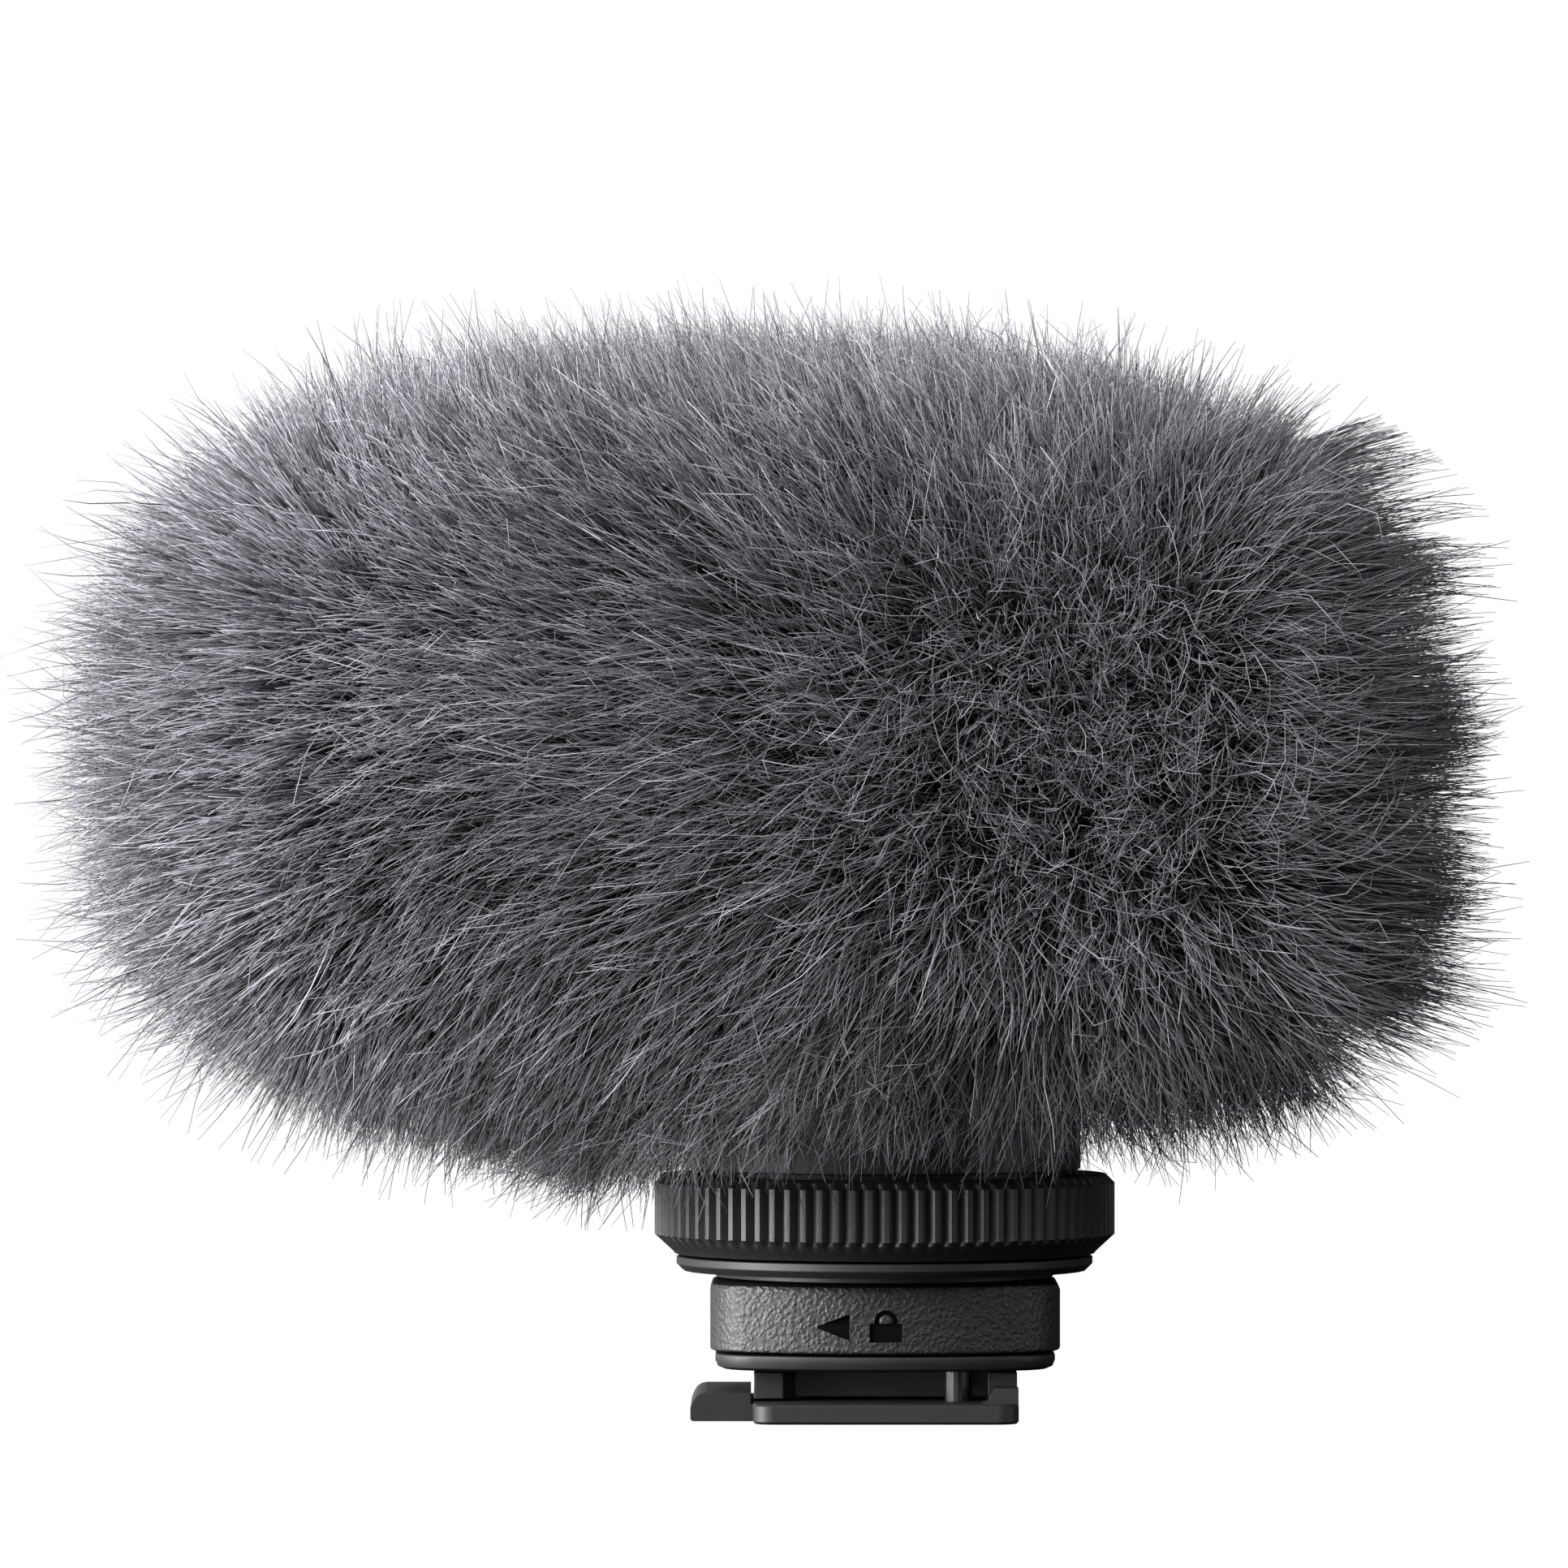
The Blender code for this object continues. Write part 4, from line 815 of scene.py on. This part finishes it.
def keep_clear(points):
    """Move strand points out of the stem, the ring and the body behind the rim."""
    r = np.hypot(points[..., 0], points[..., 1])
    limit = np.where(points[..., 2] < RING_HIGH[2] + RING_CLEARANCE, RING_R + MOUNT_CLEARANCE,
                     STEM_R + MOUNT_CLEARANCE)
    limit = np.where(points[..., 2] < STEM_TOP, limit, 0.0)
    grow = np.where(r < limit, limit / np.maximum(r, 1e-3), 1.0)
    points[..., 0] *= grow
    points[..., 1] *= grow
    behind = points[..., 0] > RIM_X - BEFORE_RIM
    y, z = points[..., 1], points[..., 2] - AXIS_Z
    size = np.maximum(np.abs(y) / (BODY_HALF_W + BODY_MARGIN),
                      np.abs(z) / (BODY_HALF_H + BODY_MARGIN))
    push = np.where(behind & (size < 1.0) & (points[..., 0] < BODY_REAR + BODY_CLEARANCE),
                    1.0 / np.maximum(size, 1e-3), 1.0)
    points[..., 1] = y * push
    points[..., 2] = z * push + AXIS_Z
    return points


def strand_mesh(name, points, widths, shades, materials):
    """Three-sided tapered tubes, closed at both ends, as one mesh."""
    count, stations, _ = points.shape
    tangent = unit(np.gradient(points, axis=1), 1e-9)
    # One sideways direction for the whole strand; the small offset gives a
    # straight strand one too.
    small = np.array([0.011, 0.017, 0.013])
    reference = np.cross(tangent[:, 0], tangent[:, -1] + small)[:, None]
    side = unit(np.cross(tangent, reference), 1e-9)
    other = np.cross(tangent, side)
    u = np.linspace(0, 1, stations)
    taper = 1.0 - TAPER * u ** 2.2
    taper[0] = 0.8
    radius = (widths[:, None] / 2 * taper)[:, :, None]
    corners = []
    for k in range(3):
        angle = 2 * math.pi * k / 3
        corners.append(points + radius * (math.cos(angle) * side + math.sin(angle) * other))
    verts = np.stack(corners, axis=2).reshape(-1, 3)
    base = (np.arange(count) * stations * 3)[:, None, None]
    level = (np.arange(stations - 1) * 3)[None, :, None]
    loops = []
    for k in range(3):
        j = (k + 1) % 3
        quad = np.array([k, j, 3 + j, 3 + k])[None, None]
        loops.append(base + level + quad)
    quads = np.stack(loops, axis=2).reshape(-1, 4)
    bottom = base[:, 0] + np.array([[0, 2, 1]])
    top = base[:, 0] + (stations - 1) * 3 + np.array([[0, 1, 2]])
    n_quads, n_tris = len(quads), 2 * count
    mesh = bpy.data.meshes.new(name)
    mesh.vertices.add(len(verts))
    mesh.vertices.foreach_set("co", (verts * MM).astype(np.float32).ravel())
    mesh.loops.add(4 * n_quads + 3 * n_tris)
    mesh.loops.foreach_set("vertex_index", np.concatenate(
        [quads.ravel(), bottom.ravel(), top.ravel()]).astype(np.int32))
    mesh.polygons.add(n_quads + n_tris)
    starts = np.concatenate([np.arange(n_quads) * 4, 4 * n_quads + np.arange(n_tris) * 3])
    mesh.polygons.foreach_set("loop_start", starts.astype(np.int32))
    zones = len(FIBRE_ZONES)
    zone = (np.arange(stations - 1) + 0.5) / (stations - 1) * zones
    zone = np.clip(zone, 0, zones - 1).astype(int)
    root = shades * zones
    per_quad = root[:, None, None] + zone[None, :, None] + np.zeros((1, 1, 3), int)
    index = np.concatenate([per_quad.ravel(), root, root + zones - 1])
    mesh.update(calc_edges=True)
    mesh.polygons.foreach_set("material_index", index.astype(np.int32))
    mesh.polygons.foreach_set("use_smooth", np.ones(n_quads + n_tris, bool))
    for material in materials:
        mesh.materials.append(material)
    mesh.validate()
    return mesh


def fibre_shades(points, whorl, split, below, rng):
    """Shade of each strand. `split` is the first of the underfur, and `below` the
    strands at the stem. Painted light makes the pile lighter high up and at the very
    front; painted shade makes it darker at the back and most by the stem. At the
    whorl the shades are even and lighter, which is in part painted light."""
    count = len(points)
    shades = rng.choice(COAT_SHADES, count, p=COAT_SHARES)
    shades[split:] = rng.choice(UNDER_SHADES, count - split, p=UNDER_SHARES)
    x, height = points[:, 0, 0], points[:, 0, 2]
    # Painted light: strands high up and at the front get lighter shades, standing in for the
    # light from the upper left and front.
    tip_x = -36.0
    high = rise(x, -16.0, -11.0, most=0.95) * rise(height, 33.0, 16.0, least=0.1)
    front = 0.9 * rise(x, -29.0, -5.0) - 0.75 * rise(x, tip_x, -3.5)
    front *= rise(height, 24.0, 8.0, least=0.1)
    painted_light_chance = np.maximum(high * (x > tip_x), front) * rise(height, 58.0, -8.0, least=0.3)
    painted_light_steps = (rng.random((2, count)) < painted_light_chance).sum(axis=0)
    # Painted shade: shades darker towards the back, and darker still for the strands hanging by
    # the stem, where the pile is in shade.
    darker = (rng.random(count) < 0.3 * rise(x, 12.0, 8.0)).astype(int)
    darker[below] += 1 + (rng.random(below.stop - below.start) < (x[below] + 6.0) / 10.0)
    # At the whorl: even shades, and lighter ones, in part painted light that lifts the shade
    # between strands seen end-on.
    even = rng.random(count) < WHORL_EVEN * whorl
    shades[even] = rng.choice(WHORL_SHADES, even.sum(), p=WHORL_SHARES)
    return np.clip(shades + painted_light_steps - darker, 0, len(FIBRE_SHADES) - 1)


def make_fur():
    rng = np.random.default_rng(SEED)
    share = 1.0
    materials = strand_materials()
    coat, calm = grow_strands(int(COAT_COUNT * share), rng, COAT_LENGTH, COAT_STRAY)
    edge = grow_edge(int(EDGE_COUNT * share), rng, EDGE_LENGTH, EDGE_STRAY)
    slot_edge = grow_slot_edge(int(SLOT_EDGE_COUNT * share), rng, SLOT_EDGE_LENGTH,
                               SLOT_EDGE_STRAY)
    groups = []
    for points, hanging in ((coat, False), (edge, True), (slot_edge, True)):
        bunched = curl(clump(points, rng, LOCK_SIZE, LOCK_PULL), rng, COAT_CURL)
        groups.append(trimmed(gathered(bunched), rng, COAT_TRIM, hanging))
    long_points = keep_clear(np.concatenate(groups))
    under, under_calm = grow_strands(int(UNDER_COUNT * share), rng, UNDER_LENGTH, UNDER_STRAY,
                                     UNDER_LEAN)
    under = keep_clear(trimmed(curl(under, rng, UNDER_CURL), rng, UNDER_TRIM))
    points = np.concatenate([long_points, under])
    count, split = len(points), len(long_points)
    whorl = np.zeros(count)
    whorl[:len(coat)] = calm
    whorl[split:] = under_calm
    shades = fibre_shades(points, whorl, split, slice(len(coat) + len(edge), split), rng)
    widths = rng.uniform(*WIDTHS, count) * (1 - WHORL_FINER * whorl)
    # One piece per stretch of the cover, so that each stays a moderate mesh.
    order = np.argsort(points[:, 0, 0] + rng.normal(0, 0.2, count))
    for number, members in enumerate(np.array_split(order, FUR_PARTS), start=1):
        mesh = strand_mesh(f"fur_{number:02d}", points[members], widths[members],
                           shades[members], materials)
        new_piece(f"fur_{number:02d}", mesh, "windscreen", "fur_pile")


# ---- lock ring ---------------------------------------------------------------
RIDGES, RIDGE_DEPTH, RIDGE_STEPS = 86, 0.4, 12
RIDGE_TOP = 0.32                                # share of a ridge's pitch that is flat
RING_BORE, BORE_EDGE_LOW, BORE_EDGE = 10.8, 0.3, 0.5
LOWER_CHAMFER, LOWER_HEIGHT, UPPER_CHAMFER = 1.25, 1.15, 0.5


def make_lock_ring():
    """Knurled ring: flat-topped ridges with V grooves that run out into the
    lower chamfer."""
    low, high, radius = RING_LOW[2], RING_HIGH[2], RING_R
    flank_low, flank_high = low + LOWER_HEIGHT, high - UPPER_CHAMFER
    sides = RIDGES * RIDGE_STEPS
    angle = np.arange(sides) * 2 * math.pi / sides
    phase = np.abs((np.arange(sides) % RIDGE_STEPS) / RIDGE_STEPS - 0.5) * 2
    groove = np.clip((phase - RIDGE_TOP) / (1 - RIDGE_TOP), 0, 1)
    levels = [(RING_BORE, low), (radius - LOWER_CHAMFER, low),
              (radius - LOWER_CHAMFER + 0.07, low + 0.03)]
    for t in np.linspace(0.15, 1.0, 5):
        levels.append((radius - LOWER_CHAMFER * (1 - t), low + LOWER_HEIGHT * t))
    levels += [(radius, flank_low + 0.12), (radius, flank_high - 0.1)]
    for t in (0.0, 0.35, 0.7, 1.0):
        levels.append((radius - UPPER_CHAMFER * t, flank_high + UPPER_CHAMFER * t))
    levels += [(radius - UPPER_CHAMFER - 0.12, high), (RING_BORE + BORE_EDGE, high),
               (RING_BORE, high - BORE_EDGE_LOW)]
    rings = []
    for r, z in levels:
        floor = radius - RIDGE_DEPTH
        reach = r - np.where(r > floor, (r - floor) * groove, 0.0)
        rings.append(np.column_stack([reach * np.cos(angle), reach * np.sin(angle),
                                      np.full(sides, z)]))
    mesh = mesh_from_rings("lock_ring_fine", rings, closed=True)
    mesh.materials.append(RING_PLASTIC)
    smooth(mesh, 24)
    new_piece("lock_ring_fine", mesh, "lock_ring", "lock_ring")


# ---- the rest of the mount and the microphone ----------------------------------
def make_pin_spring():
    """Return spring of the lock pin, a steel copy of its CAD node."""
    mesh = NODES["pin_spring"].data.copy()
    mesh.materials.clear()
    mesh.materials.append(STEEL)
    spring = linked("pin_spring_coil", mesh)
    low, high = (Vector(p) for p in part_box("pin_spring"))
    top = (low + high) / 2
    base = top.copy()
    base.z, top.z = low.z, high.z
    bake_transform(spring)
    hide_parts("pin_spring")


def make_mount():
    make_lock_ring()
    refined("stem", "microphone", PLASTIC, 0.1, angle=40)
    refined("lock_base", "microphone", PLASTIC, 0.06, angle=40)
    refined("collar", "microphone", COLLAR_PLASTIC, 0.04, angle=40,
            recess_shade=RECESS_SHADE)
    refined("lower_plate", "microphone", PLASTIC, 0.04, angle=40)
    refined("foot_neck", "microphone", PLASTIC, 0.06)
    refined("foot_plate", "microphone", PLASTIC, 0.1, 3)
    repaint(DARK_STEEL, "lock_pin", "cam_ring")
    make_pin_spring()
    repaint(PLASTIC, "contact_block")


def make_microphone():
    refined("grille", "microphone", GRILLE_PAINT, 0.08, angle=40)
    for node, bevel in (("housing_top", 0.1), ("housing_bottom", 0.1), ("rear_panel", 0.08)):
        refined(node, "microphone", HOUSING_PLASTIC, bevel)
    refined("level_dial", "level_dial", RING_PLASTIC, 0.06, angle=25)
    for name in ("gain_switch", "filter_switch"):
        refined(name, name, PLASTIC, 0.12, 3)
    repaint(MESH_STEEL, "mesh_screen")
    repaint(BOARD, "main_board", "rear_board")
    repaint(STEEL, "shield_can", "encoder", "gain_switch_body", "filter_switch_body")
    repaint(PLASTIC, "capsule_chassis")
    repaint(FILM, "ribbon_cable")
    for i in range(1, 5):
        repaint(STEEL, f"capsule_{i}")
        repaint(RUBBER, f"isolator_{i}")
        repaint(DARK_STEEL, f"housing_screw_{i}", f"foot_screw_{i}")
    for i in range(1, 4):
        repaint(DARK_STEEL, f"stem_screw_{i}")
    for i in range(1, 7):
        repaint(GOLD, f"contact_strip_{i}")


def make_cover():
    """Fabric layers of the windscreen, with the hem and tape that finish them."""
    tool = slot_tool()
    backing = cover_layer("backing_knit", FABRIC_GROW - KNIT_THICKNESS, FABRIC_GROW, tool,
                          KNIT, "backing", "backing_fabric")
    liner = cover_layer("spacer_knit", *LINER_FACES, tool, SPACER, "spacer", "spacer_liner")
    bpy.data.objects.remove(tool)
    for node, material, slot_name, bevel in (("rear_hem", TAPE, "binding", 0.3),
                                             ("slot_binding", TAPE, "binding", 0.18),
                                             ("hem_elastic", RUBBER, "elastic", 0.15)):
        refined(node, "windscreen", material, bevel, 4)


# ---- studio ------------------------------------------------------------------
# Broad suns: where each stands, its strength and its spread in degrees.
SUNS = (("key_left", (-0.85, -0.3, 0.62), 4.2, 45.0),
        ("left_front", (-0.95, -0.27, 0.2), 5.2, 45.0),
        ("top_front", (0.1, -0.75, 0.75), 1.3, 60.0),
        ("left_low", (-0.9, -0.25, -0.35), 1.8, 45.0),
        ("right_strip", (0.95, -0.35, 0.12), 0.35, 30.0))
# Sky: its brightest direction, the cosine where it ends, and its strength.
GLOW = ((-0.86, -0.1, 0.5), -0.15, 3.4)
OVERHEAD = ((0.0, -0.3, 0.95), -0.9, 0.34)
FLOOR_REACH, FLOOR_Z, FLOOR_SIDES = 4000.0, -320.0, 96
CAMERA_PLACE, LENS_MM, SENSOR_MM = (-5.9, -628.6, 37.05), 246.0, 36.0


def make_sun(name, towards, strength, spread_degrees):
    light = bpy.data.lights.new(name, "SUN")
    light.energy = strength
    light.angle = math.radians(spread_degrees)
    obj = linked(name, light)
    obj.rotation_euler = (-Vector(towards)).to_track_quat("-Z", "Y").to_euler()


def lobe(tree, vector, towards, end, strength):
    """Squared falloff of brightness away from a direction."""
    dot = tree.nodes.new("ShaderNodeVectorMath")
    dot.operation = "DOT_PRODUCT"
    dot.inputs[1].default_value = Vector(towards).normalized()
    tree.links.new(vector, dot.inputs[0])
    spread = tree.nodes.new("ShaderNodeMapRange")
    spread.inputs["From Min"].default_value = end
    tree.links.new(dot.outputs["Value"], spread.inputs["Value"])
    squared = combined(tree, "POWER", spread.outputs["Result"], 2.0)
    return combined(tree, "MULTIPLY", squared, strength)


def make_sky():
    """The lens sees plain white; the object is lit by a sky that is brightest at
    the upper left and dim below."""
    world = bpy.data.worlds.new("studio")
    world.use_nodes = True
    bpy.context.scene.world = world
    tree = world.node_tree
    back = tree.nodes["Background"]
    back.inputs["Color"].default_value = (1.0, 1.0, 1.0, 1.0)
    path = tree.nodes.new("ShaderNodeLightPath")
    coords = tree.nodes.new("ShaderNodeTexCoord")
    lobes = [lobe(tree, coords.outputs["Generated"], *each) for each in (GLOW, OVERHEAD)]
    level = tree.nodes.new("ShaderNodeMix")
    level.inputs["B"].default_value = 1.0
    tree.links.new(path.outputs["Is Camera Ray"], level.inputs["Factor"])
    tree.links.new(combined(tree, "ADD", *lobes), level.inputs["A"])
    tree.links.new(level.outputs["Result"], back.inputs["Strength"])


def make_floor():
    """Pale floor far below, hidden from everything but the lens and shadows."""
    floor = bpy.data.meshes.new("floor")
    rim = [(FLOOR_REACH * math.cos(a), FLOOR_REACH * math.sin(a), FLOOR_Z)
           for a in np.linspace(0, 2 * math.pi, FLOOR_SIDES, endpoint=False)]
    floor.from_pydata([Vector(p) * MM for p in rim], [], [tuple(range(len(rim)))])
    floor.materials.append(principled("pale_floor", (0.9, 0.9, 0.9), 0.7)[0])
    obj = linked("floor", floor)
    obj.visible_diffuse = obj.visible_glossy = False


def make_studio():
    bpy.context.scene.view_settings.view_transform = "Standard"
    make_sky()
    for each in SUNS:
        make_sun(*each)
    make_floor()


def make_camera():
    """Level side view from far away, as a long lens sees it."""
    camera = bpy.data.cameras.new("camera")
    camera.sensor_width = SENSOR_MM
    camera.lens = LENS_MM
    camera.clip_end = 20.0
    obj = linked("camera", camera)
    obj.location = Vector(CAMERA_PLACE) * MM
    obj.rotation_euler = (math.radians(90.0), 0.0, 0.0)
    bpy.context.scene.camera = obj


make_camera()
make_studio()
make_mount()
make_microphone()
make_cover()
make_fur()
